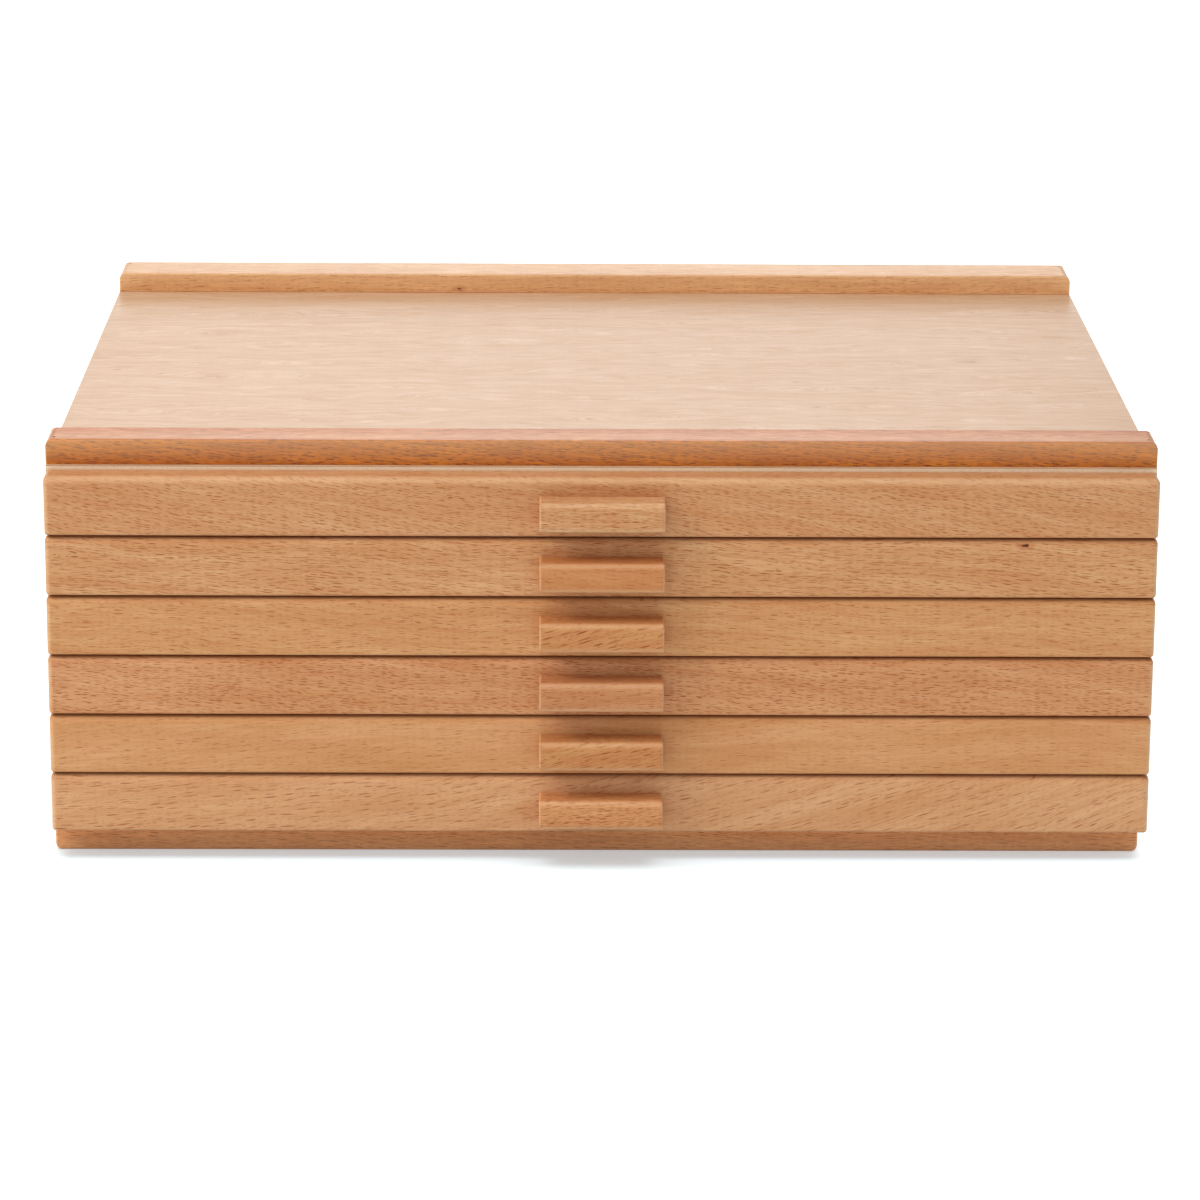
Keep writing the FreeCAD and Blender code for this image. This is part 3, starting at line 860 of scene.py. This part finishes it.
def settle(thing: Object, shut: tuple[Side, ...] = ()) -> Object:
    """Finish a board's mesh: apply its modifiers, shade it, and mark its arrises.

    The mark is above 0 where an arris is worn pale and given a painted highlight, and below 0 where
    painted shade darkens a front edge in the gap to a neighbour.

    Args:
        thing: the object, with its modifiers still live.
        shut: sides that close on a neighbour, whose front edges get painted shade.

    Returns:
        The same object.
    """
    bake_modifiers(thing)
    thing.data.shade_smooth()
    thing.data.set_sharp_from_angle(angle=SHARP_FROM)
    normals = thing.modifiers.new("flat faces", "WEIGHTED_NORMAL")
    normals.keep_sharp = True
    normals.weight = FLAT_FACE_WEIGHT
    bake_modifiers(thing)
    vertices = thing.data.vertices
    middle = sum(vertex.co.y for vertex in vertices) / len(vertices)
    arris = thing.data.attributes.new("arris", "FLOAT", "POINT")
    for vertex, mark in zip(vertices, arris.data):
        # Rounded arrises get a pale mark: wear, and a painted highlight.
        mark.value = min(1.0, WEAR_AND_HIGHLIGHT_RISE * (1.0 - max(abs(part) for part in vertex.normal)))
        # Painted shade: front edges that lean towards a shut side are darkened, as the gap there would shade
        # them.
        lean = max((side.lean(vertex.normal) for side in shut), default=0.0)
        if lean > GAP_SHADE_FROM and vertex.co.y < middle:
            mark.value = -GAP_SHADE_FAINT * lean - GAP_SHADE_DARK * lean**GAP_SHADE_POWER
    return thing


def round_over(name: str, shape: bmesh.types.BMesh, width: float, steps: int) -> Object:
    """Turn a shape into a board whose weighted edges are rounded.

    Args:
        name: the board's name.
        shape: the shape with its edges' weights, which is used up.
        width: radius in millimetres where the weight is 1.
        steps: faces round an edge.

    Returns:
        The object, with its rounding still a modifier.
    """
    mesh = bpy.data.meshes.new(name)
    shape.to_mesh(mesh)
    shape.free()
    board = new_object(name, mesh)
    rounding = board.modifiers.new("rounding", "BEVEL")
    rounding.limit_method = "WEIGHT"
    rounding.width = width * MM
    rounding.segments = steps
    rounding.use_clamp_overlap = False
    return board


def edges(*pairs: tuple[Side, Side], radius: float) -> Radii:
    """Give one radius to several edges of a board."""
    return {frozenset(pair): radius for pair in pairs}


def facing(normal: Vector) -> Side:
    """Tell which side of a board a normal belongs to."""
    return max(Side, key=lambda side: side.lean(normal))


def eased_box(name: str, node: str, ease: float, radii: Radii | None = None) -> Object:
    """Make a board as a box with rounded edges.

    Args:
        name: the object's name.
        node: the node whose box it fills.
        ease: radius in millimetres of the edges that radii doesn't name.
        radii: radii in millimetres by the two sides that meet at an edge.

    Returns:
        The object, with its rounding still a modifier.
    """
    low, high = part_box(node)
    radii = radii or {}
    shape = bmesh.new()
    bmesh.ops.create_cube(shape, size=1.0)
    size = high - low
    middle = (high + low) / 2
    for vertex in shape.verts:
        vertex.co = Vector(part * extent for part, extent in zip(vertex.co, size)) + middle
    shape.normal_update()
    weights = shape.edges.layers.float.new("bevel_weight_edge")
    widest = max([ease, *radii.values()])
    for edge in shape.edges:
        sides = frozenset(facing(face.normal) for face in edge.link_faces)
        edge[weights] = radii.get(sides, ease) / widest
    return round_over(name, shape, widest, ROUND_STEPS)


def eased_copy(name: str, node: str, ease: float, shortest: float = 3.0) -> Object:
    """Copy a node's mesh and ease its long arrises.

    Args:
        name: the copy's name.
        node: the node to copy.
        ease: radius in millimetres.
        shortest: shortest edge in millimetres that is eased.

    Returns:
        The object, with its rounding still a modifier.
    """
    shape = bmesh.new()
    shape.from_mesh(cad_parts[node].data)
    bmesh.ops.remove_doubles(shape, verts=shape.verts, dist=SAME_POINT * MM)
    bmesh.ops.dissolve_limit(shape, angle_limit=COPLANAR_WITHIN, verts=shape.verts, edges=shape.edges)
    weights = shape.edges.layers.float.new("bevel_weight_edge")
    for edge in shape.edges:
        bent = len(edge.link_faces) == 2 and edge.calc_face_angle_signed() > SHARP_FROM
        edge[weights] = float(bent and edge.calc_length() > shortest * MM)
    return round_over(name, shape, ease, EASE_STEPS)


@dataclass
class Repeater:
    """A Geometry Nodes tree with named inputs that repeats one shape. Lengths are in metres.

    Attributes:
        tree: the tree.
        sockets: the identifiers of its inputs, by name.
    """

    TITLE: ClassVar[str] = ""
    INPUTS: ClassVar[dict[str, str]] = {}
    tree: NodeTree = field(init=False)
    sockets: dict[str, str] = field(init=False, default_factory=dict)

    def __post_init__(self) -> None:
        """Build the tree, which ends in one real mesh with its material."""
        self.tree = bpy.data.node_groups.new(self.TITLE, "GeometryNodeTree")
        face = self.tree.interface
        face.new_socket("Geometry", in_out="INPUT", socket_type="NodeSocketGeometry")
        for name, kind in {**self.INPUTS, "Material": "Material"}.items():
            socket = face.new_socket(name, in_out="INPUT", socket_type=f"NodeSocket{kind}")
            self.sockets[name] = socket.identifier
        face.new_socket("Geometry", in_out="OUTPUT", socket_type="NodeSocketGeometry")
        given = add(self.tree, "NodeGroupInput").outputs
        real = add(self.tree, "GeometryNodeRealizeInstances", {"Geometry": self.repeat(given)})
        look = {"Geometry": real, "Material": given["Material"]}
        add(self.tree, "NodeGroupOutput", {0: add(self.tree, "GeometryNodeSetMaterial", look)})

    def repeat(self, given: bpy.types.NodeOutputs) -> Node:
        """Make the shape and repeat it with the given inputs, and give the node with the instances."""
        raise NotImplementedError

    def run_on(self, thing: Object, inputs: dict[str, object]) -> None:
        """Give an object the tree as a modifier.

        Args:
            thing: the object.
            inputs: the tree's inputs, by name.
        """
        modifier = thing.modifiers.new(self.TITLE, "NODES")
        modifier.node_group = self.tree
        for name, value in inputs.items():
            modifier[self.sockets[name]] = value


@dataclass
class PinRow(Repeater):
    """Pins at the points of a mesh: brads and, a little wider, what their holes are cut with."""

    TITLE = "pins at points"
    INPUTS = dict.fromkeys(("Shank Radius", "Shank Length", "Head Radius", "Head Height"), "Float")
    ROUND: ClassVar[int] = 20

    def repeat(self, given: bpy.types.NodeOutputs) -> Node:
        """Join shank and head, and set the pin at each point by its aim.

        Args:
            given: the tree's inputs.

        Returns:
            The node that gives the instances.
        """
        parts = []
        for part, length in (("Shank", given["Shank Length"]), ("Head", given["Head Height"])):
            size = {"Vertices": self.ROUND, "Radius": given[f"{part} Radius"], "Depth": length}
            bar = add(self.tree, "GeometryNodeMeshCylinder", size)
            half = add(self.tree, "ShaderNodeMath", {0: length, 1: -0.5}, operation="MULTIPLY")
            below = {"Geometry": bar, "Translation": add(self.tree, "ShaderNodeCombineXYZ", {2: half})}
            parts.append(add(self.tree, "GeometryNodeTransform", below))
        pin = add(self.tree, "GeometryNodeMeshBoolean", {1: parts[0]}, operation="UNION")
        self.tree.links.new(parts[1].outputs[0], pin.inputs[1])
        aim = add(self.tree, "GeometryNodeInputNamedAttribute", {"Name": "aim"}, data_type="FLOAT_VECTOR")
        turn = add(self.tree, "FunctionNodeEulerToRotation", {0: aim})
        pins = {"Points": given["Geometry"], "Instance": pin, "Rotation": turn}
        return add(self.tree, "GeometryNodeInstanceOnPoints", pins)

    def pins(self, name: str, places: Places, inputs: dict[str, object]) -> Object:
        """Make pins at places.

        Args:
            name: the object's name.
            places: where the outer face of each head lies and how the pin is turned, in radians.
            inputs: the tree's inputs, by name.

        Returns:
            The pins as one object with a plain mesh.
        """
        mesh = bpy.data.meshes.new(name)
        mesh.from_pydata([place for place, _ in places], [], [])
        aim = mesh.attributes.new("aim", "FLOAT_VECTOR", "POINT")
        for mark, (_, turn) in zip(aim.data, places):
            mark.vector = turn
        thing = new_object(name, mesh)
        self.run_on(thing, inputs)
        bake_modifiers(thing)
        return thing


@dataclass
class StripRow(Repeater):
    """Flat strips in a row at even steps."""

    TITLE = "strips in a row"
    INPUTS = {"Count": "Int", "First": "Vector", "Step": "Vector", "Size": "Vector"}

    def repeat(self, given: bpy.types.NodeOutputs) -> Node:
        """Set a strip at each point of a line.

        Args:
            given: the tree's inputs.

        Returns:
            The node that gives the instances.
        """
        row = {"Count": given["Count"], "Start Location": given["First"], "Offset": given["Step"]}
        line = add(self.tree, "GeometryNodeMeshLine", row, mode="OFFSET")
        strip = add(self.tree, "GeometryNodeMeshCube", {"Size": given["Size"]})
        return add(self.tree, "GeometryNodeInstanceOnPoints", {"Points": line, "Instance": strip})

    def strips(self, name: str, inputs: dict[str, object], ease: float) -> Object:
        """Make a row of strips with eased arrises.

        Args:
            name: the object's name.
            inputs: the tree's inputs, by name.
            ease: radius of the arrises in millimetres.

        Returns:
            The strips as one object, with their rounding still a modifier.
        """
        thing = new_object(name, bpy.data.meshes.new(name))
        self.run_on(thing, inputs)
        rounding = thing.modifiers.new("rounding", "BEVEL")
        rounding.width = ease * MM
        rounding.segments = EASE_STEPS
        return thing


@dataclass
class Assembly:
    """What every sub-assembly shares: its body, and how a piece is dressed.

    Attributes:
        body: the body that its pieces ride on.
    """

    body: str

    def dress(self, piece: Object, node: str, slot: Slot, material: Material) -> None:
        """Give a piece its material and body, and let it stand for its node.

        Args:
            piece: the finished piece.
            node: the node it replaces.
            slot: the record's material slot; not used.
            material: its material.
        """
        piece.data.materials.clear()
        piece.data.materials.append(material)
        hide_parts(node)
        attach(piece, self.body)
        LOG.info("%s: %s stands for %s, %d faces", self.body, piece.name, node, len(piece.data.polygons))


@dataclass
class Carcass(Assembly):
    """Battens, panels and brads: all that stays put. Lengths are in millimetres.

    Attributes:
        pins: the tree that makes brads and the cutters for their holes.
        end_radius: round-over at the battens' outer ends.
        edge_radius: eased outlines of their front and rear faces.
        ease: every other arris.
        brad_end_inset: brad to the end of its batten.
        brad_edge_inset: brad to the batten's outer long edge.
        brad_set: depth of the heads below the surface.
        brad_fit: room round a brad.
        shank_radius: of every brad.
        head_radius: of every brad.
        head_height: of every brad.
        batten_brad_length: length of the brads through the battens.
        back_brad_length: length of the brads through the back panel.
        back_brad_rows: how many of them stand above each other.
    """

    pins: PinRow
    end_radius: float = 2.8
    edge_radius: float = 0.8
    ease: float = 0.3
    brad_end_inset: float = 3.0
    brad_edge_inset: float = 4.2
    brad_set: float = 0.6
    brad_fit: float = 0.05
    shank_radius: float = 0.45
    head_radius: float = 0.6
    head_height: float = 0.6
    batten_brad_length: float = 22.0
    back_brad_length: float = 14.0
    back_brad_rows: int = 5

    def build(self) -> None:
        """Make all of the carcass's pieces."""
        steel = BradSteel().material("brad steel")
        batten_places = self.build_battens()
        self.build_panels()
        self.build_sides()
        back_places = self.build_back()
        for node, places, length in (
            ("batten_brads", batten_places, self.batten_brad_length),
            ("back_brads", back_places, self.back_brad_length),
        ):
            brads = self.pins.pins(f"{node}_wire", places, self.pin_inputs(length, 0.0, steel))
            self.dress(brads, node, Slot.BRAD, steel)

    def pin_inputs(self, length: float, room: float, steel: Material | None) -> dict[str, object]:
        """Give the pin tree's inputs.

        Args:
            length: length of a brad in millimetres.
            room: what is added to its radii, for the hole round it.
            steel: the brad's material.

        Returns:
            The inputs in metres, by name.
        """
        return {
            "Shank Radius": (self.shank_radius + room) * MM,
            "Shank Length": length * MM,
            "Head Radius": (self.head_radius + room) * MM,
            "Head Height": self.head_height * MM,
            "Material": steel,
        }

    def cut_holes(self, board: Object, places: Places, outer: Side) -> None:
        """Cut the holes that brads leave in a board.

        Args:
            board: the board, with its rounding still a modifier.
            places: the brads' places and turns.
            outer: the board's drilled face.
        """
        inputs = self.pin_inputs(self.back_brad_length * 2, self.brad_fit, None)
        inputs["Head Height"] += 2 * self.brad_set * MM
        axis, sign = outer.value
        outwards = Vector((0.0, 0.0, 0.0))
        outwards[axis] = sign
        lifted = [(place + outwards * 2 * self.brad_set * MM, turn) for place, turn in places]
        cutter = self.pins.pins(f"{board.name}_drill", lifted, inputs)
        bake_modifiers(board)
        cut = board.modifiers.new("holes", "BOOLEAN")
        cut.object = cutter
        cut.operation = "DIFFERENCE"
        cut.solver = "EXACT"
        bake_modifiers(board)
        bpy.data.objects.remove(cutter)

    def batten_woods(self) -> dict[str, Beech]:
        """Choose the battens' boards.

        Returns:
            The boards by their nodes.
        """
        knot = Knot(centre=(-57.1, 147.1, 147.7), radius=0.5, halo=1.4)
        bold = replace(DENSE, length=4.8, thickness=0.44)
        red = Beech(Grain(seed=3, tilt=-4, rays=bold), pale="#D17816", deep="#BF640D", wax=0.22)
        fair = Beech(Grain(seed=8, tilt=2, rays=SPARSE), pale="#E8B680", deep="#D9A46C", wax=0.2)
        base = Beech(Grain(seed=5, tilt=-3, rays=LONG), pale="#FAAE71", deep="#ED985A")
        strong = {"late": "#84430F", "ray": "#5C2004", "ray_strength": 0.9, "streak_strength": 0.6}
        return {
            "top_front_batten": replace(red, **strong),
            "top_rear_batten": replace(fair, knots=(knot,)),
            "base_front_batten": base,
            "base_rear_batten": replace(base, grain=Grain(seed=6, tilt=2)),
        }

    def build_battens(self) -> Places:
        """Make the four battens.

        Returns:
            Place and turn of each of their brads.
        """
        all_places = []
        for node, wood in self.batten_woods().items():
            outer = Side.TOP if node.startswith("top") else Side.BOTTOM
            ends = ((outer, Side.LEFT), (outer, Side.RIGHT))
            outline = tuple(
                (end, face) for end in (outer, Side.LEFT, Side.RIGHT) for face in (Side.FRONT, Side.REAR)
            )
            radii = edges(*ends, radius=self.end_radius) | edges(*outline, radius=self.edge_radius)
            batten = eased_box(f"{node}_strip", node, self.ease, radii)
            places = self.batten_brads(node, outer)
            self.cut_holes(batten, places, outer)
            settle(batten)
            self.dress(batten, node, Slot.CARCASS, wood.material(f"waxed beech, {node}"))
            all_places += places
        return all_places

    def batten_brads(self, node: str, outer: Side) -> Places:
        """Place a brad near each end of a batten.

        Args:
            node: the batten's node.
            outer: the face that it is driven in from.

        Returns:
            Place and turn of each brad.
        """
        low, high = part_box(node)
        inset = self.brad_edge_inset * MM
        edge = high.y - inset if "rear" in node else low.y + inset
        on_top = outer is Side.TOP
        level = high.z - self.brad_set * MM if on_top else low.z + self.brad_set * MM
        turn = Vector((0.0 if on_top else math.pi, 0.0, 0.0))
        xs = (low.x + self.brad_end_inset * MM, high.x - self.brad_end_inset * MM)
        return [(Vector((x, edge, level)), turn) for x in xs]

    def build_panels(self) -> None:
        """Make the top and bottom panels."""
        for node, seed in (("top_panel", 2), ("bottom_panel", 7)):
            panel = settle(eased_box(f"{node}_sheet", node, self.ease))
            ply = Plywood.sheet(node, replace(VENEER, seed=seed))
            self.dress(panel, node, Slot.PANEL, ply.material(f"waxed plywood, {node}"))

    def build_sides(self) -> None:
        """Make the grooved side panels."""
        for node, seed in (("left_side_panel", 11), ("right_side_panel", 12)):
            panel = settle(eased_copy(f"{node}_board", node, self.ease))
            wood = Beech(replace(LENGTHWISE, seed=seed, tilt=2))
            self.dress(panel, node, Slot.CARCASS, wood.material(f"waxed beech, {node}"))

    def build_back(self) -> Places:
        """Make the back panel.

        Returns:
            Place and turn of each of its brads.
        """
        node = "back_panel"
        low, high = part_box("back_brads")
        head = self.head_radius * MM
        lowest, highest = low.z + head, high.z - head
        step = (highest - lowest) / (self.back_brad_rows - 1)
        turn = Vector((-math.pi / 2, 0.0, 0.0))
        places = [
            (Vector((x, high.y, lowest + row * step)), turn)
            for row in range(self.back_brad_rows)
            for x in (low.x + head, high.x - head)
        ]
        panel = eased_box(f"{node}_sheet", node, self.ease)
        self.cut_holes(panel, places, Side.REAR)
        settle(panel)
        ply = Plywood.sheet(node, replace(VENEER, face=Axis.Y, seed=4, pith_depth=150))
        self.dress(panel, node, Slot.PANEL, ply.material(f"waxed plywood, {node}"))
        return places


@dataclass(frozen=True)
class DrawerWood:
    """The two boards of one drawer that show when it is shut.

    Attributes:
        front: board of the front.
        pull: board of the pull.
    """

    front: Beech
    pull: Beech


@dataclass
class Drawer(Assembly):
    """One drawer: front, pull, four rails, bottom and dividers. Lengths are in millimetres.

    Attributes:
        number: 1 for the highest drawer.
        rows: the tree that makes the dividers.
        wood: boards of the front and the pull.
        box_materials: materials of the rails and the dividers, by what they are for.
        top_radius: round-over along the front's upper edge.
        end_radius: round-over at the front's ends.
        bottom_radius: eased lower edge of the front.
        pull_radius: long front edges of the pull.
        pull_end_radius: edges round the pull's ends.
        ease: every other arris of the drawer.
        pull_ease: every other arris of the pull.
        divider_count: dividers in the drawer.
        divider_thickness: plywood of the dividers.
    """

    number: int
    rows: StripRow
    wood: DrawerWood
    box_materials: dict[str, Material]
    top_radius: float = 3.2
    end_radius: float = 2.0
    bottom_radius: float = 1.0
    pull_radius: float = 2.5
    pull_end_radius: float = 1.0
    ease: float = 0.3
    pull_ease: float = 0.15
    divider_count: int = 3
    divider_thickness: float = 3.0

    def build(self) -> None:
        """Make all of the drawer's pieces."""
        self.build_front()
        self.build_pull()
        self.build_box()
        self.build_dividers()

    def build_front(self) -> None:
        """Make the rounded front."""
        node = f"{self.body}_front"
        ends = tuple((end, side) for end in (Side.LEFT, Side.RIGHT) for side in (Side.FRONT, Side.TOP))
        feet = tuple((side, Side.BOTTOM) for side in (Side.FRONT, Side.LEFT, Side.RIGHT))
        radii = edges(*ends, radius=self.end_radius) | edges(*feet, radius=self.bottom_radius)
        radii |= edges((Side.FRONT, Side.TOP), radius=self.top_radius)
        # The front's edges on these sides get painted shade, standing in for the gaps to the neighbouring
        # fronts.
        shut = (Side.BOTTOM,) if self.number == 1 else (Side.TOP, Side.BOTTOM)
        front = settle(eased_box(f"{node}_board", node, self.ease, radii), shut)
        self.dress(front, node, Slot.FRONT, self.wood.front.material(f"waxed beech, {node}"))

    def build_pull(self) -> None:
        """Make the pull, a short rounded bar."""
        node = f"{self.body}_pull"
        around = (Side.FRONT, Side.TOP, Side.BOTTOM)
        ends = tuple((end, side) for end in (Side.LEFT, Side.RIGHT) for side in around)
        long_edges = ((Side.FRONT, Side.TOP), (Side.FRONT, Side.BOTTOM))
        radii = edges(*ends, radius=self.pull_end_radius) | edges(*long_edges, radius=self.pull_radius)
        pull = settle(eased_box(f"{node}_bar", node, self.pull_ease, radii))
        self.dress(pull, node, Slot.PULL, self.wood.pull.material(f"waxed beech, {node}"))

    def build_box(self) -> None:
        """Make the rails and the bottom, whose edges run in the side panels' grooves."""
        kinds = {"front": "cross rail", "rear": "cross rail", "left": "side rail", "right": "side rail"}
        for place, kind in kinds.items():
            node = f"{self.body}_{place}_rail"
            rail = settle(eased_copy(f"{node}_strip", node, self.ease))
            self.dress(rail, node, Slot.DRAWER_BOX, self.box_materials[kind])
        node = f"{self.body}_bottom"
        bottom = settle(eased_box(f"{node}_sheet", node, self.ease))
        ply = Plywood.sheet(node, replace(VENEER, seed=self.number))
        self.dress(bottom, node, Slot.DRAWER_PLY, ply.material(f"plain plywood, {node}"))

    def build_dividers(self) -> None:
        """Make the loose dividers."""
        node = f"{self.body}_dividers"
        low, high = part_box(node)
        size = Vector((self.divider_thickness * MM, high.y - low.y, high.z - low.z))
        step = (high.x - low.x - size.x) / (self.divider_count - 1)
        inputs = {
            "Count": self.divider_count,
            "First": low + size / 2,
            "Step": Vector((step, 0, 0)),
            "Size": size,
            "Material": self.box_materials["divider"],
        }
        dividers = settle(self.rows.strips(f"{node}_strips", inputs, self.ease))
        self.dress(dividers, node, Slot.DRAWER_PLY, self.box_materials["divider"])


def drawer_woods() -> list[DrawerWood]:
    """Choose the boards that show on the six drawers.

    Returns:
        The boards of each drawer, from the highest down.
    """
    knot = Knot(centre=(152.2, -160.0, 119.7), radius=0.8, halo=1.6)
    plain = Beech()
    bold = Beech(ray_strength=1.0, streak_strength=0.65)
    rayed = Beech(ray_strength=0.9)
    knotty = replace(rayed, knots=(knot,))
    quiet = Beech(streak_strength=0.5)
    quieter = Beech(ray_strength=0.6, streak_strength=0.35)
    sloped = Beech(ray_strength=0.7, streak_strength=0.3)
    fronts = (
        (plain, Grain(seed=21, tilt=-8, rays=DENSE), "#CE9D70", "#C38C5D"),
        (knotty, Grain(seed=22, tilt=-4, rays=LONG), "#D3A374", "#C58F5E"),
        (quiet, Grain(seed=23, tilt=-2, rays=SPARSE), "#D3A16E", "#C68E5C"),
        (rayed, Grain(seed=24, tilt=-4, rays=DENSE), "#D39D70", "#C38858"),
        (quieter, Grain(seed=25, tilt=3, bend=-0.00012, rays=SPARSE), "#D49E6D", "#C88F5A"),
        (sloped, Grain(seed=26, tilt=12, bend=0.0004, rays=COARSE), "#DBA97C", "#CF9869"),
    )
    pulls = (
        (bold, Grain(seed=31, tilt=-3, rays=DENSE), "#D1A374", "#C59161"),
        (plain, Grain(seed=32, tilt=-4, rays=SPARSE), "#C58755", "#B87844"),
        (bold, Grain(seed=63, tilt=13, rays=COARSE), "#CA9560", "#BF824E"),
        (plain, Grain(seed=34, tilt=3), "#C58C60", "#B6794D"),
        (bold, Grain(seed=65, tilt=14, rays=COARSE), "#C9955E", "#BD814E"),
        (bold, Grain(seed=36, tilt=6, rays=DENSE), "#DDA56D", "#CE8F5D"),
    )
    cut = [
        [replace(wood, grain=grain, pale=pale, deep=deep) for wood, grain, pale, deep in boards]
        for boards in (fronts, pulls)
    ]
    return [DrawerWood(front, pull) for front, pull in zip(*cut)]


def drawer_box_materials() -> dict[str, Material]:
    """Make the materials that all drawers share.

    Returns:
        The materials by what they are for.
    """
    cross = Beech(Grain(seed=41), roughness=0.55, pale="#E0B58C", deep="#D2A277")
    side = replace(cross, grain=replace(LENGTHWISE, seed=42))
    strip_grain = replace(LENGTHWISE, seed=43, rays=SPARSE)
    strips = Beech(strip_grain, roughness=0.5, pale="#E6C5A3", deep="#DBB58F")
    return {
        "cross rail": cross.material("planed beech, cross rails"),
        "side rail": side.material("planed beech, side rails"),
        "divider": strips.material("plain plywood, dividers"),
    }


class Lights(Enum):
    """What a lamp shines on: the box alone or the floor alone."""

    BOX = "EXCLUDE"
    FLOOR = "INCLUDE"


@dataclass(frozen=True)
class Lamp:
    """A soft square lamp.

    Attributes:
        name: the lamp's name.
        turn: degrees round the box from its front towards its left.
        height: degrees above the floor.
        away: metres from the box.
        size: side of the lamp in metres.
        power: in watts.
        lights: what it shines on.
    """

    name: str
    turn: float
    height: float
    away: float
    size: float
    power: float
    lights: Lights = Lights.BOX

    def hang(self, target: Vector, floor: Object) -> None:
        """Put the lamp into the scene.

        Args:
            target: what it points at.
            floor: the floor, which it shines on alone or not at all.
        """
        light = bpy.data.lights.new(self.name, "AREA")
        light.shape = "SQUARE"
        light.size = self.size
        light.energy = self.power
        thing = bpy.data.objects.new(self.name, light)
        bpy.context.scene.collection.objects.link(thing)
        turn, height = math.radians(self.turn), math.radians(self.height)
        level = Vector((-math.sin(turn), -math.cos(turn), 0.0)) * math.cos(height)
        outwards = level + Vector((0.0, 0.0, math.sin(height)))
        thing.location = target + outwards * self.away
        thing.rotation_euler = (-outwards).to_track_quat("-Z", "Y").to_euler()
        group = bpy.data.collections.new(f"{self.name} and the floor")
        group.objects.link(floor)
        thing.light_linking.receiver_collection = group
        group.collection_objects[0].light_linking.link_state = self.lights.value


@dataclass
class Studio:
    """White sweep, soft lamps and the camera.

    The key stands well round to the left. The floor has a lamp of its own above it, so that the box
    throws one short soft shadow and not the key's long one.

    Attributes:
        camera_place: the camera, in millimetres.
        yaw: its turn to the right, in degrees.
        pitch: how far it looks down, in degrees.
        roll: its roll, in degrees.
        lens: focal length in millimetres.
        sensor: width of the camera's sensor in millimetres.
        floor_size: side of the floor in metres.
        ambient: brightness of the room on what it lights.
        aim: what the lamps point at, in metres.
        lamps: all lamps.
    """

    camera_place: tuple[float, float, float] = (-18.37, -1766.75, 556.03)
    yaw: float = 0.633
    pitch: float = 15.876
    roll: float = 0.329
    lens: float = 139.2
    sensor: float = 36.0
    floor_size: float = 12.0
    ambient: float = 0.56
    aim: tuple[float, float, float] = (0.0, -0.05, 0.08)
    lamps: tuple[Lamp, ...] = (
        Lamp("key softbox", turn=64, height=42, away=2.0, size=0.9, power=20),
        Lamp("front softbox", turn=5, height=14, away=2.5, size=1.2, power=2.5),
        Lamp("high softbox", turn=20, height=66, away=2.0, size=0.9, power=6),
        Lamp("rear softbox", turn=180, height=20, away=2.0, size=0.9, power=3.0),
        Lamp("floor softbox", turn=180, height=87, away=6.0, size=6.4, power=520, lights=Lights.FLOOR),
    )

    def build(self) -> None:
        """Make the floor, the world, the lamps and the camera."""
        floor = self.build_floor()
        self.build_world()
        for lamp in self.lamps:
            lamp.hang(Vector(self.aim), floor)
        self.build_camera()
        bpy.context.scene.view_settings.view_transform = "Standard"

    def build_floor(self) -> Object:
        """Make the flat floor.

        Returns:
            The floor.
        """
        half = self.floor_size / 2
        mesh = bpy.data.meshes.new("floor")
        corners = [(-half, -half, 0), (half, -half, 0), (half, half, 0), (-half, half, 0)]
        mesh.from_pydata(corners, [], [(0, 1, 2, 3)])
        floor = new_object("floor", mesh)
        mesh.materials.append(PaperSweep().material("white paper sweep"))
        return floor

    def build_world(self) -> None:
        """Make a white world that lights the box evenly."""
        world = bpy.data.worlds.new("white room")
        bpy.context.scene.world = world
        world.use_nodes = True
        tree = world.node_tree
        tree.nodes.clear()
        levels = {"Value": seen_directly(tree), "To Min": self.ambient, "To Max": 1.0}
        strength = add(tree, "ShaderNodeMapRange", levels)
        sky = add(tree, "ShaderNodeBackground", {"Color": colour("#FFFFFF"), "Strength": strength})
        add(tree, "ShaderNodeOutputWorld", {0: sky})

    def build_camera(self) -> None:
        """Make the camera."""
        yaw, pitch, roll = (math.radians(angle) for angle in (self.yaw, self.pitch, self.roll))
        ahead = Vector((math.sin(yaw) * math.cos(pitch), math.cos(yaw) * math.cos(pitch), -math.sin(pitch)))
        level = Vector((math.cos(yaw), -math.sin(yaw), 0.0))
        upright = level.cross(ahead)
        right = level * math.cos(roll) + upright * math.sin(roll)
        up = right.cross(ahead)
        turn = Matrix((right, up, -ahead)).transposed().to_4x4()
        camera = bpy.data.cameras.new("camera")
        camera.lens = self.lens
        camera.sensor_width = self.sensor
        thing = bpy.data.objects.new("camera", camera)
        bpy.context.scene.collection.objects.link(thing)
        thing.matrix_world = Matrix.Translation(Vector(self.camera_place) * MM) @ turn
        bpy.context.scene.camera = thing


def main() -> None:
    """Build the box and its studio."""
    logging.basicConfig(level=logging.INFO, format="%(name)s: %(message)s")
    Carcass("carcass", PinRow()).build()
    rows = StripRow()
    shared = drawer_box_materials()
    for number, wood in enumerate(drawer_woods(), start=1):
        Drawer(f"drawer_{number}", number, rows, wood, shared).build()
    Studio().build()


if __name__ == "__main__":
    main()
